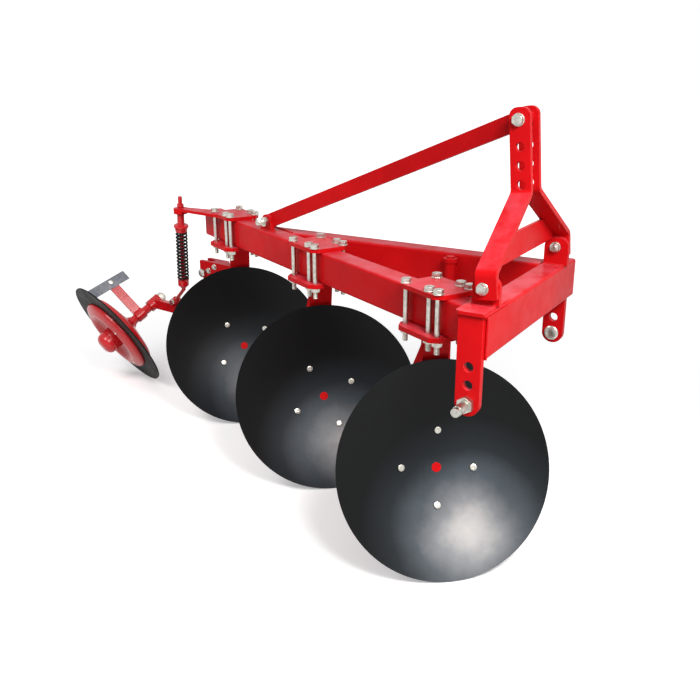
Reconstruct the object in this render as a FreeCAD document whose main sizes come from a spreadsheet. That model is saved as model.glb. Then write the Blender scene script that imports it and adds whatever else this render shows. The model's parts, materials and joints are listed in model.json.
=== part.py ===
import FreeCAD, Part
import os

import Sketcher
from FreeCAD import Placement, Rotation, Vector

# Mounted three-disc plough with a sprung rear furrow wheel, in millimetres.
#
# +X is the plough's right-hand side, +Y the direction of travel and +Z up. The discs, the furrow
# wheel and the parking stand rest on the floor. The model is laid out from a point on the floor
# below the middle of the first disc, and moved at the end so that its origin is on the floor
# below the middle of the whole plough.

# ---------------------------------------------------------------- driving sizes
SIZES = [
    # discs
    ("disc_radius", 330, "outer radius of a disc"),
    ("disc_sphere", 650, "radius of the hollow face of a disc"),
    ("disc_thick", 6, "thickness of the disc steel"),
    ("disc_bevel", 12, "width of the sharpened rim"),
    ("disc_land", 1.5, "thickness left at the cutting edge"),
    ("disc_count", 3, "number of discs"),
    ("disc_gap", 680, "distance between discs along the main beam"),
    ("disc_turn", 47.5, "angle of a disc's axle from the direction of travel"),
    ("disc_tilt", 21, "angle by which a disc's axle points upward"),
    ("disc_bolt_circle", 115, "radius of the ring of disc bolts"),
    ("disc_bolt_radius", 6, "shank radius of a disc bolt"),
    ("disc_bolt_head", 11, "head radius of a disc bolt"),
    ("disc_bolt_count", 4, "bolts through each disc"),
    # hub, spindle and bearing housing of a disc
    ("nose_radius", 15, "radius of the hub's nose in the middle of the disc"),
    ("nose_proud", 1, "height of the nose above the hollow face"),
    ("flange_radius", 134, "radius of the hub flange behind a disc"),
    ("flange_thick", 11, "thickness of the hub flange"),
    ("boss_radius", 56, "radius of the boss behind the hub flange"),
    ("spindle_radius", 22, "radius of a disc spindle"),
    ("spindle_long", 120, "length of spindle behind the boss"),
    ("housing_radius", 60, "radius of the bearing housing"),
    ("housing_front", 119, "distance from a disc's rim plane back to its bearing housing"),
    ("housing_long", 118, "length of the bearing housing"),
    ("housing_cap", 22, "depth of the cap on the housing"),
    ("cap_radius", 45, "radius of that cap"),
    ("boss_gap", 7, "gap between the boss and the housing"),
    ("running_gap", 0.3, "gap round a turning or sliding fit"),
    ("hole_gap", 0.5, "gap round a bolt in its hole"),
    # disc legs
    ("leg_wide", 80, "width of a disc leg"),
    ("leg_top_front", 108, "distance from the disc's middle back to the leg's front, at the top"),
    ("leg_top_back", 150, "the same to the back of the leg's neck"),
    ("leg_front", 166, "the same to the front of the leg's lower part"),
    ("leg_back", 236, "the same to its back"),
    ("leg_neck", 60, "height of the slim neck below the clamp"),
    ("leg_slope", 95, "height over which the leg thickens to the back"),
    ("leg_rake", 246, "height over which the leg's front leans back"),
    ("leg_round", 9, "radius of the leg's rounded edges"),
    # beams
    ("beam_angle", 27, "angle of the main beam from the direction of travel"),
    ("beam_side", -13, "offset of the main beam's middle from the line of discs"),
    ("beam_wide", 80, "width of the main and brace beams"),
    ("beam_high", 108, "height of the main and brace beams"),
    ("beam_wall", 8, "wall of all three beams"),
    ("beam_round", 9, "radius of the outer corners of the beams"),
    ("beam_clear", 114, "distance from the top of a disc up to the main beam"),
    ("beam_tail", 298, "length of main beam past the last disc"),
    ("cross_rear", 71.5, "distance of the cross beam's rear face ahead of the first disc"),
    ("cross_high", 125, "height of the cross beam"),
    ("cross_wide", 80, "width of the cross beam"),
    ("cross_over", 53, "cross beam left of the brace beam"),
    ("brace_after", 150, "distance along the main beam from the second clamp to the brace beam"),
    ("corner_thick", 10, "thickness of the corner plate"),
    ("corner_left", 36, "reach of the corner plate to the left of the first disc"),
    ("corner_right", 7, "reach of the corner plate past the right hitch bracket"),
    ("corner_reach", 3, "reach of the corner plate behind the cross beam"),
    ("corner_round", 13, "corner radius of the corner plate"),
    # lower hitch
    ("hitch_spread", 742, "distance between the outer faces of the hitch brackets"),
    ("hitch_right", 128.3, "distance of the right bracket's outer face from the first disc"),
    ("hitch_thick", 20, "thickness of a hitch bracket"),
    ("hitch_drop", 139, "height of the lower-link pins below the main beam"),
    ("hitch_pitch", 52, "pitch of the holes in a hitch bracket"),
    ("hitch_holes", 3, "holes in a hitch bracket"),
    ("hitch_foot", 36, "steel below the lower-link pin"),
    ("hitch_round", 34, "radius of the lower corners of a hitch bracket"),
    ("hitch_wide", 70, "width of a hitch bracket"),
    ("link_pin_radius", 14, "radius of a lower-link pin"),
    ("link_stud", 13, "radius of the pin inside its nut and bracket"),
    ("link_end", 12.5, "radius of the pin's end, outside the seat of the link"),
    ("link_pin_long", 75, "length of a lower-link pin outside its bracket"),
    ("link_nut", 18, "thickness of the nut on a lower-link pin"),
    ("link_nut_wide", 24, "corner radius of that nut"),
    ("link_head", 10, "thickness of a lower-link pin's head"),
    ("link_head_radius", 21.5, "radius of that head"),
    ("linch_hole", 5, "radius of the linch pin hole"),
    ("linch_end", 8, "distance of the linch pin hole from the pin's end"),
    # mast
    ("mast_foot", 313, "half the spread of the mast feet, to the outer faces"),
    ("mast_top", 43, "half the spread of the upright parts of the mast, to the outer faces"),
    ("mast_thick", 16, "thickness of a mast bar"),
    ("mast_wide", 60, "width of a mast bar"),
    ("mast_lean", 5, "backward lean of the mast"),
    ("mast_low_bend", 46, "height of the lower bend above the foot bolt"),
    ("mast_high_bend", 216, "height of the upper bend above the foot bolt"),
    ("mast_bend", 14, "inner radius of the bends"),
    ("mast_high", 445, "height of the mast above the foot bolt"),
    ("mast_heel", 30, "steel below the foot bolt"),
    ("mast_set", 9, "distance of the mast's middle ahead of the foot bolt"),
    ("mast_hole_low", 235, "height of the lowest top-link hole above the foot bolt"),
    ("mast_pitch", 51.7, "pitch of the top-link holes"),
    ("mast_holes", 3, "top-link holes"),
    ("mast_hole_radius", 13, "radius of a top-link hole"),
    ("mast_bolt_high", 411.5, "height of the stay's front bolt above the foot bolt"),
    ("mast_bolt_set", 3, "distance of that bolt behind the mast's middle"),
    ("mast_round", 24, "radius of the mast bars' upper corners"),
    ("mast_foot_round", 5, "radius of their lower corners"),
    ("foot_ahead", 117, "distance of the foot bolts ahead of the first disc"),
    ("foot_above", 57, "height of the foot bolts above the beams"),
    ("lug_wide", 72, "width of a mast lug"),
    ("lug_ahead", 6, "steel added at the front edge of a mast lug"),
    ("lug_thick", 16, "thickness of a mast lug"),
    ("lug_up", 30, "steel above the foot bolt in a mast lug"),
    ("lug_round", 29, "radius of a mast lug's upper corners"),
    ("foot_bolt", 10, "radius of a foot bolt"),
    ("tie_low", 28, "height of the tie bar above the foot bolts"),
    ("tie_wide", 74, "width of the tie bar"),
    ("tie_thick", 12, "thickness of the tie bar"),
    # top stay
    ("stay_wide", 52, "width of the top stay"),
    ("stay_thick", 14, "thickness of the top stay"),
    ("stay_along", 1122, "distance of the stay's rear bolt behind the first disc, along the beam"),
    ("stay_above", 34, "height of the stay's rear bolt above the main beam"),
    ("stay_bolt", 11, "radius of the bolts at the ends of the stay"),
    ("stay_eye", 23, "outer radius of the eye tube at the front of the stay"),
    ("stay_lug", 12, "thickness of the lug at the rear of the stay"),
    ("stay_thread", 26, "bare thread on the stay's rear bolt"),
    # clamps
    ("clamp_rear", 157, "distance of a clamp's rear bolts behind its disc's middle"),
    ("clamp_middle", 46, "the same for the middle bolts"),
    ("clamp_front", 6, "the same for the front bolts"),
    ("clamp_half", 55.4, "distance of the clamp bolts from the beam's middle"),
    ("clamp_top", 14, "thickness of a top clamp plate"),
    ("clamp_low", 15, "thickness of a lower clamp plate"),
    ("clamp_edge", 17, "steel outside the bolts in a top clamp plate"),
    ("clamp_low_edge", 28, "steel outside the bolts in a lower clamp plate"),
    ("clamp_end", 20, "steel past the front and rear bolts"),
    ("clamp_corner", 24, "size of the clamp plates' cut corners"),
    ("clamp_bolt", 8, "radius of a clamp bolt"),
    ("clamp_head", 12, "thickness of a clamp bolt's head"),
    ("clamp_hex", 15, "corner radius of a clamp bolt's head and nut"),
    ("clamp_nut", 14, "thickness of a clamp bolt's nut"),
    ("clamp_washer", 3, "thickness of the washer under a clamp bolt's head"),
    ("washer_radius", 16.5, "radius of that washer"),
    ("clamp_thread", 24, "bare thread below the nut"),
    # parking stand
    ("stand_off", 25, "distance of the parking stand from the brace beam"),
    ("stand_behind", 226, "distance of the parking stand behind the first disc"),
    ("sleeve_radius", 18, "outer radius of the stand's sleeve"),
    ("collar_radius", 23.5, "radius of the collar on the sleeve"),
    ("collar_high", 14, "height of that collar"),
    ("sleeve_drop", 11, "distance of the collar's top below the beams' top"),
    ("sleeve_long", 132, "length of the sleeve"),
    ("sleeve_pad", 30, "width of the pad between sleeve and brace beam"),
    ("stand_radius", 13, "radius of the stand's leg"),
    ("stand_above", 6, "height of the leg's top above the collar"),
    ("stand_foot", 42, "radius of the stand's foot"),
    ("foot_thick", 10, "thickness of the stand's foot"),
    # furrow wheel
    ("wheel_right", 24.4, "distance of the furrow wheel's middle to the right of the last disc"),
    ("wheel_behind", 731, "distance of the furrow wheel's middle behind the last disc"),
    ("wheel_radius", 273, "radius of the furrow wheel"),
    ("wheel_thick", 6, "thickness of the furrow wheel's disc"),
    ("wheel_turn", 109, "heading of the wheel's axle from the direction of travel"),
    ("wheel_lean", 29.9, "angle by which the wheel's axle points down"),
    ("bowl_radius", 184, "radius of the pressed bowls on both sides of the wheel"),
    ("bowl_edge", 10, "width of the rounded edge of both bowls"),
    ("bowl_side", 13, "height of the outer bowl's side"),
    ("bowl_rim", 20, "height of the outer bowl inside its edge"),
    ("bowl_inner", 112, "inner radius of the outer bowl's raised ring"),
    ("bowl_high", 34, "height of the outer bowl there"),
    ("bowl_well", 82, "radius of the sunken middle of the outer bowl"),
    ("bowl_sunk", 10, "height of the sunken middle"),
    ("bowl_thick", 4, "thickness of the bowls"),
    ("dish_side", 31, "height of the inner bowl's side"),
    ("dish_rim", 41, "height of the inner bowl inside its edge"),
    ("dish_neck", 60, "inner radius of the inner bowl's sloping face"),
    ("dish_high", 73, "height of the inner bowl there"),
    ("rivet_count", 4, "rivets round the outer bowl"),
    ("rivet_turn", 31.3, "place of the first rivet round the wheel"),
    ("rivet_in", 38, "distance of the rivets inside the bowl's edge"),
    ("rivet_radius", 6, "radius of a rivet's head"),
    ("rivet_high", 3, "height of a rivet's head"),
    ("axle_radius", 20, "radius of the wheel's axle"),
    ("barrel_radius", 36, "radius of the wheel's hub at its inner end"),
    ("barrel_front", 91, "length of the hub on the outer side"),
    ("barrel_back", 82, "length of the hub on the inner side"),
    ("barrel_cap", 12, "thickness of the hub's closed end"),
    ("nave_radius", 56, "radius of the hub's domed cap on the outer side"),
    ("nave_rise", 25, "height of that dome"),
    ("socket_at", 231, "distance of the axle socket's middle from the wheel"),
    ("socket_long", 62, "length of the axle socket"),
    ("socket_radius", 28, "radius of the axle socket"),
    ("axle_nut", 28, "length of the nut and thread behind the socket"),
    ("axle_nut_wide", 21, "corner radius of the axle nut"),
    # tail arm and its bracket
    ("pivot_left", 122.6, "distance of the tail arm's pivot to the left of the last disc"),
    ("pivot_behind", 285, "the same behind the last disc"),
    ("pivot_above", 257, "height of the tail arm's pivot above the last disc's middle"),
    ("arm_thick", 28, "thickness of the tail arm"),
    ("arm_deep", 42, "depth of the tail arm"),
    ("arm_bend", 69, "inner radius of the tail arm's bend"),
    ("arm_eye", 30, "radius of the arm's pivot eye"),
    ("pivot_bolt", 11, "radius of the tail arm's pivot bolt"),
    ("cheek_thick", 17, "thickness of each cheek of the tail bracket"),
    ("cheek_gap", 1, "gap on each side of the arm in its bracket"),
    ("bracket_up", 52, "height of the tail bracket above the pivot"),
    ("bracket_down", 24, "depth of the tail bracket below the pivot"),
    ("bracket_rear", 20, "steel behind the pivot"),
    ("bracket_slot", 40, "depth of the bracket's slot ahead of the pivot"),
    # spring rod
    ("ear_behind", 224, "distance of the spring rod's pin behind the arm's pivot"),
    ("ear_above", 38, "height of the spring rod's pin above the arm's middle"),
    ("ear_radius", 21, "radius of the ear round that pin"),
    ("rod_eye", 16, "radius of the eye on the spring rod"),
    ("link_pin", 8, "radius of the spring rod's pin"),
    ("neck_right", 64, "distance of the rod's neck to the right of its pin"),
    ("neck_ahead", 105, "distance of the neck ahead of its pin"),
    ("neck_above", 84, "height of the neck above its pin"),
    ("guide_along", 332, "distance of the spring guide behind the last disc, along the beam"),
    ("guide_side", 125, "distance of the guide to the right of the line of discs"),
    ("guide_radius", 29, "outer radius of the guide"),
    ("guide_bore", 12.5, "radius of the guide's hole, in which the rod can lean"),
    ("guide_high", 24, "height of the guide"),
    ("guide_arm", 40, "width of the arm that carries the guide"),
    ("rod_radius", 9, "radius of the spring rod"),
    ("rod_top", 62, "length of rod above the guide"),
    ("rod_seat", 3.2, "gap below the guide in which the rod can lean"),
    ("rod_sleeve", 15.5, "radius of the thick sleeve on the rod"),
    ("rod_sleeve_long", 50, "length of that sleeve"),
    ("upper_cup", 28, "radius of the spring's upper cup"),
    ("upper_cup_high", 28, "height of that cup"),
    ("lower_cup", 24, "radius of the spring's lower cup"),
    ("lower_cup_high", 24, "height of that cup"),
    ("cup_taper", 14, "height of the taper below the lower cup"),
    ("rod_nut", 15, "corner radius of the nut on top of the rod"),
    ("spring_radius", 20, "middle radius of the spring"),
    ("spring_wire", 3.5, "wire radius of the spring"),
    ("spring_turns", 11.5, "turns of the spring"),
    # scraper
    ("scraper_turn", 121, "place of the scraper round the wheel"),
    ("scraper_at", 119, "distance of the scraper bar from the wheel"),
    ("scraper_reach", 199.5, "distance of the scraper's bolt from the axle"),
    ("scraper_end", 16, "scraper bar past its bolt"),
    ("scraper_ring", 26, "outer radius of the ring that holds the scraper bar to the axle"),
    ("scraper_bar", 44, "width of the scraper bar"),
    ("scraper_bar_thick", 10, "thickness of the scraper bar"),
    ("scraper_bolt", 6, "radius of the scraper's bolt"),
    ("scraper_head", 11, "radius of that bolt's round head"),
    ("scraper_nut", 9, "thickness of its nut"),
    ("blade_long", 209, "length of the scraper blade, square to the wheel"),
    ("blade_near", 216, "distance of the blade's end beside the wheel from the axle"),
    ("blade_skew", 32, "run of the blade toward the axle over its length"),
    ("blade_wide", 47, "width of the scraper blade"),
    ("blade_thick", 5, "thickness of the scraper blade"),
    ("blade_gap", 9, "gap between the scraper blade and the wheel"),
]
DISC_PHASES = [-4.7, 24.5, 36.2]     # degrees through which each free-turning disc happens to rest

doc = FreeCAD.newDocument("disc_plough")
sheet = doc.addObject("Spreadsheet::Sheet", "Sizes")
for row, (alias, value, note) in enumerate(SIZES, 1):
    sheet.set("A%d" % row, note)
    sheet.set("B%d" % row, str(value))
    sheet.setAlias("B%d" % row, alias)
doc.recompute()

parts = []
UP = Vector(0, 0, 1)
RIGHT = Vector(1, 0, 0)
AHEAD = Vector(0, 1, 0)
HERE = Vector(0, 0, 0)


# ---------------------------------------------------------------- shared modelling steps
def size(expression):
    """Value of an expression on the sheet."""
    value = sheet.evalExpression(expression)
    return float(getattr(value, "Value", value))


def new_body(label):
    """Empty body."""
    body = doc.addObject("PartDesign::Body", label)
    body.Label = label
    return body


def keep(finished, label, position=HERE, rotation=Rotation()):
    """Name a finished object as a sub-part and put it in its place."""
    finished.Label = label
    finished.Placement = Placement(position, rotation)
    parts.append(finished)
    return finished


def new_sketch(body, name, plane):
    """Sketch on one of the body's own origin planes."""
    sketch = body.newObject("Sketcher::SketchObject", name)
    face = [item for item in body.Origin.OriginFeatures if item.Role == plane][0]
    sketch.AttachmentSupport = (face, "")
    sketch.MapMode = "FlatFace"
    return sketch


def set_rule(sketch, rule, expression):
    """Add a constraint and bind it to the sheet."""
    index = sketch.addConstraint(rule)
    sketch.setExpression("Constraints[%d]" % index, expression)


def pin_point(sketch, index, point, across, up):
    """Hold a point of the sketch at two expressions."""
    set_rule(sketch, Sketcher.Constraint("DistanceX", -1, 1, index, point, size(across)), across)
    set_rule(sketch, Sketcher.Constraint("DistanceY", -1, 1, index, point, size(up)), up)


def add_loop(sketch, corners):
    """Closed outline through corners given as pairs of expressions."""
    places = [Vector(size(across), size(up), 0) for across, up in corners]
    count = len(places)
    first = sketch.GeometryCount
    for step in range(count):
        sketch.addGeometry(Part.LineSegment(places[step], places[(step + 1) % count]), False)
    for step in range(count):
        following = first + (step + 1) % count
        sketch.addConstraint(Sketcher.Constraint("Coincident", first + step, 2, following, 1))
    for step, (across, up) in enumerate(corners):
        pin_point(sketch, first + step, 1, across, up)


def add_circle(sketch, across, up, radius):
    """Circle whose middle and radius are expressions."""
    middle = Vector(size(across), size(up), 0)
    index = sketch.addGeometry(Part.Circle(middle, UP, size(radius)), False)
    set_rule(sketch, Sketcher.Constraint("Radius", index, size(radius)), radius)
    pin_point(sketch, index, 3, across, up)


def corners_of(left, low, right, high):
    """Corners of a rectangle from four expressions."""
    return [(left, low), (right, low), (right, high), (left, high)]


def pad(body, sketch, length, middle=False, back=False):
    """Raise a sketch by a length, to one side or to both."""
    feature = body.newObject("PartDesign::Pad", sketch.Name + "_pad")
    feature.Profile = sketch
    feature.setExpression("Length", length)
    feature.Midplane = middle
    feature.Reversed = back
    doc.recompute()
    return feature


def cut(body, sketch):
    """Cut a sketch through the whole body, both ways."""
    before = body.Shape.Volume
    feature = body.newObject("PartDesign::Pocket", sketch.Name + "_cut")
    feature.Profile = sketch
    feature.Type = "ThroughAll"
    feature.Midplane = True
    doc.recompute()
    if body.Shape.Volume >= before:
        raise RuntimeError("the cut %s takes nothing away" % sketch.Name)
    return feature


def revolve(body, sketch):
    """Turn a half section round the body's own Z axis."""
    feature = body.newObject("PartDesign::Revolution", sketch.Name + "_turned")
    feature.Profile = sketch
    line = [item for item in body.Origin.OriginFeatures if item.Role == "Z_Axis"][0]
    feature.ReferenceAxis = (line, "")
    feature.Angle = 360
    doc.recompute()
    return feature


def round_corners(body, axis, places, radius):
    """Fillet the straight edges along an axis that pass through given places."""
    base = body.Tip
    names = []
    for place in places:
        found = None
        for index, edge in enumerate(base.Shape.Edges, 1):
            if edge.Curve.TypeId != "Part::GeomLine":
                continue
            run = edge.Vertexes[1].Point - edge.Vertexes[0].Point
            offset = edge.CenterOfMass - place
            beside = (offset - axis * offset.dot(axis)).Length
            if run.cross(axis).Length < 1e-6 * run.Length and beside < 0.01:
                found = "Edge%d" % index
                names.append(found)
        if found is None:
            raise RuntimeError("a corner of %s has no edge" % body.Label)
    feature = body.newObject("PartDesign::Fillet", body.Name + "_rounds")
    feature.Base = (base, names)
    feature.setExpression("Radius", radius)
    body.Tip = feature
    doc.recompute()
    return feature


def bar(name, radius, length, position=HERE, direction=UP):
    """Round bar from a position along a direction."""
    shape = doc.addObject("Part::Cylinder", name)
    shape.setExpression("Radius", radius)
    shape.setExpression("Height", length)
    shape.Placement = Placement(position, Rotation(UP, direction))
    return shape


def hexagon(name, radius, length, position=HERE, direction=UP):
    """Hexagonal head or nut from a position along a direction."""
    shape = doc.addObject("Part::Prism", name)
    shape.Polygon = 6
    shape.setExpression("Circumradius", radius)
    shape.setExpression("Height", length)
    shape.Placement = Placement(position, Rotation(UP, direction))
    return shape


def block(name, sides, position=HERE, rotation=Rotation()):
    """Rectangular block with three expressions for its sides."""
    shape = doc.addObject("Part::Box", name)
    for side, expression in zip(("Length", "Width", "Height"), sides):
        shape.setExpression(side, expression)
    shape.Placement = Placement(position, rotation)
    return shape


def fuse(name, shapes):
    """Join several objects into one."""
    joined = doc.addObject("Part::MultiFuse", name)
    joined.Shapes = shapes
    joined.Refine = True
    doc.recompute()
    return joined


def take(name, base, tool):
    """Take one object away from another."""
    result = doc.addObject("Part::Cut", name)
    result.Base = base
    result.Tool = tool
    result.Refine = True
    doc.recompute()
    if result.Shape.Volume >= base.Shape.Volume:
        raise RuntimeError("the cut %s takes nothing away" % name)
    return result


def gather(name, shapes):
    """Like pieces that don't touch, kept together as one sub-part."""
    together = doc.addObject("Part::Compound", name)
    together.Links = shapes
    doc.recompute()
    return together


def point(place):
    """Place whose three coordinates are expressions."""
    return Vector(size(place[0]), size(place[1]), size(place[2]))


def between(start, end):
    """Expression for the distance between two such places."""
    squares = ["((%s) - (%s))^2" % pair for pair in zip(start, end)]
    return "sqrt(%s)" % " + ".join(squares)


# ---------------------------------------------------------------- places and directions
BEAM_TURN = Rotation(UP, -size("Sizes.beam_angle"))
LEG_TURN = Rotation(UP, -size("Sizes.disc_turn"))
DISC_TURN = LEG_TURN.multiply(Rotation(RIGHT, size("Sizes.disc_tilt") - 90))
WHEEL_LEAN = Rotation(RIGHT, -size("Sizes.wheel_lean") - 90)
WHEEL_TURN = Rotation(UP, -size("Sizes.wheel_turn")).multiply(WHEEL_LEAN)
MAST_LEAN = Rotation(RIGHT, size("Sizes.mast_lean"))

# the rim of a disc meets the floor at the back of its cutting edge
DISC_HIGH = "(Sizes.disc_radius * cos(Sizes.disc_tilt) + Sizes.disc_land * sin(Sizes.disc_tilt))"
BEAM_UNDER = "(%s + Sizes.disc_radius * cos(Sizes.disc_tilt) + Sizes.beam_clear)" % DISC_HIGH
BEAM_TOP = "(%s + Sizes.beam_high)" % BEAM_UNDER
CLAMP_UNDER = "(%s - Sizes.clamp_low)" % BEAM_UNDER
HITCH_LEFT = "(Sizes.hitch_right - Sizes.hitch_spread)"
BRACE_RIGHT = (
    "((Sizes.disc_gap + Sizes.clamp_rear + Sizes.brace_after) * sin(Sizes.beam_angle)"
    " + (Sizes.clamp_half - Sizes.beam_side) * cos(Sizes.beam_angle))")
CROSS_LEFT = "(%s + Sizes.beam_wide + Sizes.cross_over)" % BRACE_RIGHT
MAST_MIDDLE = "(Sizes.hitch_right - Sizes.hitch_spread / 2)"
PIN_HIGH = "(%s - Sizes.hitch_drop)" % BEAM_UNDER
LAST = "(Sizes.disc_gap * (Sizes.disc_count - 1))"


def on_beam(along, side, height):
    """Place a distance back along the main beam from the first disc, and to the right of it."""
    across = "((%s) * cos(Sizes.beam_angle) - (%s) * sin(Sizes.beam_angle))" % (side, along)
    ahead = "(-(%s) * sin(Sizes.beam_angle) - (%s) * cos(Sizes.beam_angle))" % (side, along)
    return across, ahead, height


def disc_middle(number):
    """Middle of a disc's rim."""
    return point(on_beam("%d * Sizes.disc_gap" % number, "0", DISC_HIGH))


LAST_DISC = on_beam(LAST, "0", DISC_HIGH)
GUIDE = on_beam(LAST + " + Sizes.guide_along", "Sizes.guide_side", BEAM_TOP)
STAY_REAR = on_beam("Sizes.stay_along", "Sizes.beam_side", BEAM_TOP + " + Sizes.stay_above")
STAY_FRONT = (
    MAST_MIDDLE,
    "(Sizes.foot_ahead + (Sizes.mast_set - Sizes.mast_bolt_set) * cos(Sizes.mast_lean)"
    " - Sizes.mast_bolt_high * sin(Sizes.mast_lean))",
    "(%s + Sizes.foot_above + (Sizes.mast_set - Sizes.mast_bolt_set) * sin(Sizes.mast_lean)"
    " + Sizes.mast_bolt_high * cos(Sizes.mast_lean))" % BEAM_TOP)
WHEEL = (
    "(%s + Sizes.wheel_right)" % LAST_DISC[0],
    "(%s - Sizes.wheel_behind)" % LAST_DISC[1],
    "(Sizes.wheel_radius * cos(Sizes.wheel_lean) + Sizes.wheel_thick / 2 * sin(Sizes.wheel_lean))")
SOCKET = (
    "(%s - Sizes.socket_at * cos(Sizes.wheel_lean) * sin(Sizes.wheel_turn))" % WHEEL[0],
    "(%s - Sizes.socket_at * cos(Sizes.wheel_lean) * cos(Sizes.wheel_turn))" % WHEEL[1],
    "(%s + Sizes.socket_at * sin(Sizes.wheel_lean))" % WHEEL[2])
PIVOT = (
    "(%s - Sizes.pivot_left)" % LAST_DISC[0],
    "(%s - Sizes.pivot_behind)" % LAST_DISC[1],
    "(%s + Sizes.pivot_above)" % LAST_DISC[2])
ARM_RUN = between(PIVOT[:2], SOCKET[:2])
ARM_FALL = "(%s - %s)" % (SOCKET[2], PIVOT[2])
AXLE_LINE = WHEEL_TURN.multVec(UP)
DISC_LINE = DISC_TURN.multVec(UP)


# ---------------------------------------------------------------- beams
def tube_section(body, name, plane, left, low, wide, high):
    """Section of a rectangular tube."""
    sketch = new_sketch(body, name, plane)
    right = "%s + %s" % (left, wide)
    top = "%s + %s" % (low, high)
    wall = "Sizes.beam_wall"
    add_loop(sketch, corners_of(left, low, right, top))
    inside = corners_of("%s + %s" % (left, wall), "%s + %s" % (low, wall),
                        "%s - %s" % (right, wall), "%s - %s" % (top, wall))
    add_loop(sketch, inside)
    return sketch


def end_plate(body, name, plane, left, low, wide, high, back=False):
    """Plate that closes the end of a tube."""
    sketch = new_sketch(body, name, plane)
    add_loop(sketch, corners_of(left, low, "%s + %s" % (left, wide), "%s + %s" % (low, high)))
    pad(body, sketch, "Sizes.beam_wall", back=back)


# main beam: closed at the rear, mitred at the front to the cross beam
BEAM_LEFT = "Sizes.beam_side - Sizes.beam_wide / 2"
BEAM_RIGHT = "Sizes.beam_side + Sizes.beam_wide / 2"
BEAM_REAR = "(%s + Sizes.beam_tail)" % LAST
main_beam = new_body("main_beam")
main_box = (BEAM_LEFT, "0", "Sizes.beam_wide", "Sizes.beam_high")
main_tube = tube_section(main_beam, "main_tube", "XZ_Plane", *main_box)
pad(main_beam, main_tube, BEAM_REAR + " + Sizes.cross_rear + Sizes.beam_wide", back=True)
end_plate(main_beam, "main_end", "XZ_Plane", *main_box, back=True)
outer_edges = [Vector(size(side), 0, size(up)) for side in (BEAM_LEFT, BEAM_RIGHT)
               for up in ("0", "Sizes.beam_high")]
round_corners(main_beam, AHEAD, outer_edges, "Sizes.beam_round")
main_mitre = new_sketch(main_beam, "main_mitre", "XY_Plane")
mitre = "(Sizes.cross_rear + (%s) * sin(Sizes.beam_angle)) / cos(Sizes.beam_angle) + " + BEAM_REAR
mitre_side = "Sizes.beam_side %s Sizes.beam_wide"
mitre_far = BEAM_REAR + " + Sizes.cross_rear + Sizes.beam_wide * 4"
add_loop(main_mitre, [(mitre_side % "-", mitre % (mitre_side % "-")),
                      (mitre_side % "+", mitre % (mitre_side % "+")),
                      (mitre_side % "+", mitre_far),
                      (mitre_side % "-", mitre_far)])
cut(main_beam, main_mitre)
keep(main_beam, "main_beam", point(on_beam(BEAM_REAR, "0", BEAM_UNDER)), BEAM_TURN)

# cross beam: across the front, closed at its free left end
cross_beam = new_body("cross_beam")
cross_low = "Sizes.beam_high - Sizes.cross_high"
cross_box = ("Sizes.cross_rear", cross_low, "Sizes.cross_wide", "Sizes.cross_high")
cross_tube = tube_section(cross_beam, "cross_tube", "YZ_Plane", *cross_box)
pad(cross_beam, cross_tube, CROSS_LEFT + " + Sizes.hitch_right - Sizes.hitch_thick")
end_plate(cross_beam, "cross_end", "YZ_Plane", *cross_box)
cross_edges = [Vector(0, size("Sizes.cross_rear + %s" % along), size(up))
               for along in ("0", "Sizes.cross_wide") for up in (cross_low, "Sizes.beam_high")]
round_corners(cross_beam, RIGHT, cross_edges, "Sizes.beam_round")
keep(cross_beam, "cross_beam", point(("-" + CROSS_LEFT, "0", BEAM_UNDER)))

# brace beam: straight back from the cross beam to the inner side of the main beam
BRACE_LEFT = "-%s - Sizes.beam_wide" % BRACE_RIGHT
brace_beam = new_body("brace_beam")
brace_box = (BRACE_LEFT, "0", "Sizes.beam_wide", "Sizes.beam_high")
brace_tube = tube_section(brace_beam, "brace_tube", "XZ_Plane", *brace_box)
meets = "((%s) * cos(Sizes.beam_angle) - (" + BEAM_LEFT + ")) / sin(Sizes.beam_angle) - Sizes.cross_rear"
pad(brace_beam, brace_tube, "Sizes.beam_wide - (%s)" % (meets % BRACE_LEFT))
brace_edges = [Vector(size(side), 0, size(up)) for side in (BRACE_LEFT, "-" + BRACE_RIGHT)
               for up in ("0", "Sizes.beam_high")]
round_corners(brace_beam, AHEAD, brace_edges, "Sizes.beam_round")
brace_mitre = new_sketch(brace_beam, "brace_mitre", "XY_Plane")
past_left = BRACE_LEFT + " - Sizes.beam_wide / 2"
past_right = "-%s + Sizes.beam_wide / 2" % BRACE_RIGHT
brace_far = meets % BRACE_LEFT + " - Sizes.beam_wide * 3"
add_loop(brace_mitre, [(past_left, meets % past_left), (past_left, brace_far),
                       (past_right, brace_far), (past_right, meets % past_right)])
cut(brace_beam, brace_mitre)
keep(brace_beam, "brace_beam", point(("0", "Sizes.cross_rear", BEAM_UNDER)))

# corner plate: lies on the cross beam above the right hitch bracket
corner_plate = new_body("corner_plate")
corner_outline = new_sketch(corner_plate, "corner_outline", "XY_Plane")
corner_box = ("-Sizes.corner_left", "-Sizes.corner_reach",
              "Sizes.hitch_right + Sizes.corner_right", "Sizes.cross_wide")
add_loop(corner_outline, corners_of(*corner_box))
pad(corner_plate, corner_outline, "Sizes.corner_thick")
rear_right = Vector(size(corner_box[2]), size(corner_box[1]), 0)
round_corners(corner_plate, UP, [rear_right], "Sizes.corner_round")
keep(corner_plate, "corner_plate", point(("0", "Sizes.cross_rear", BEAM_TOP)))


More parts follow.
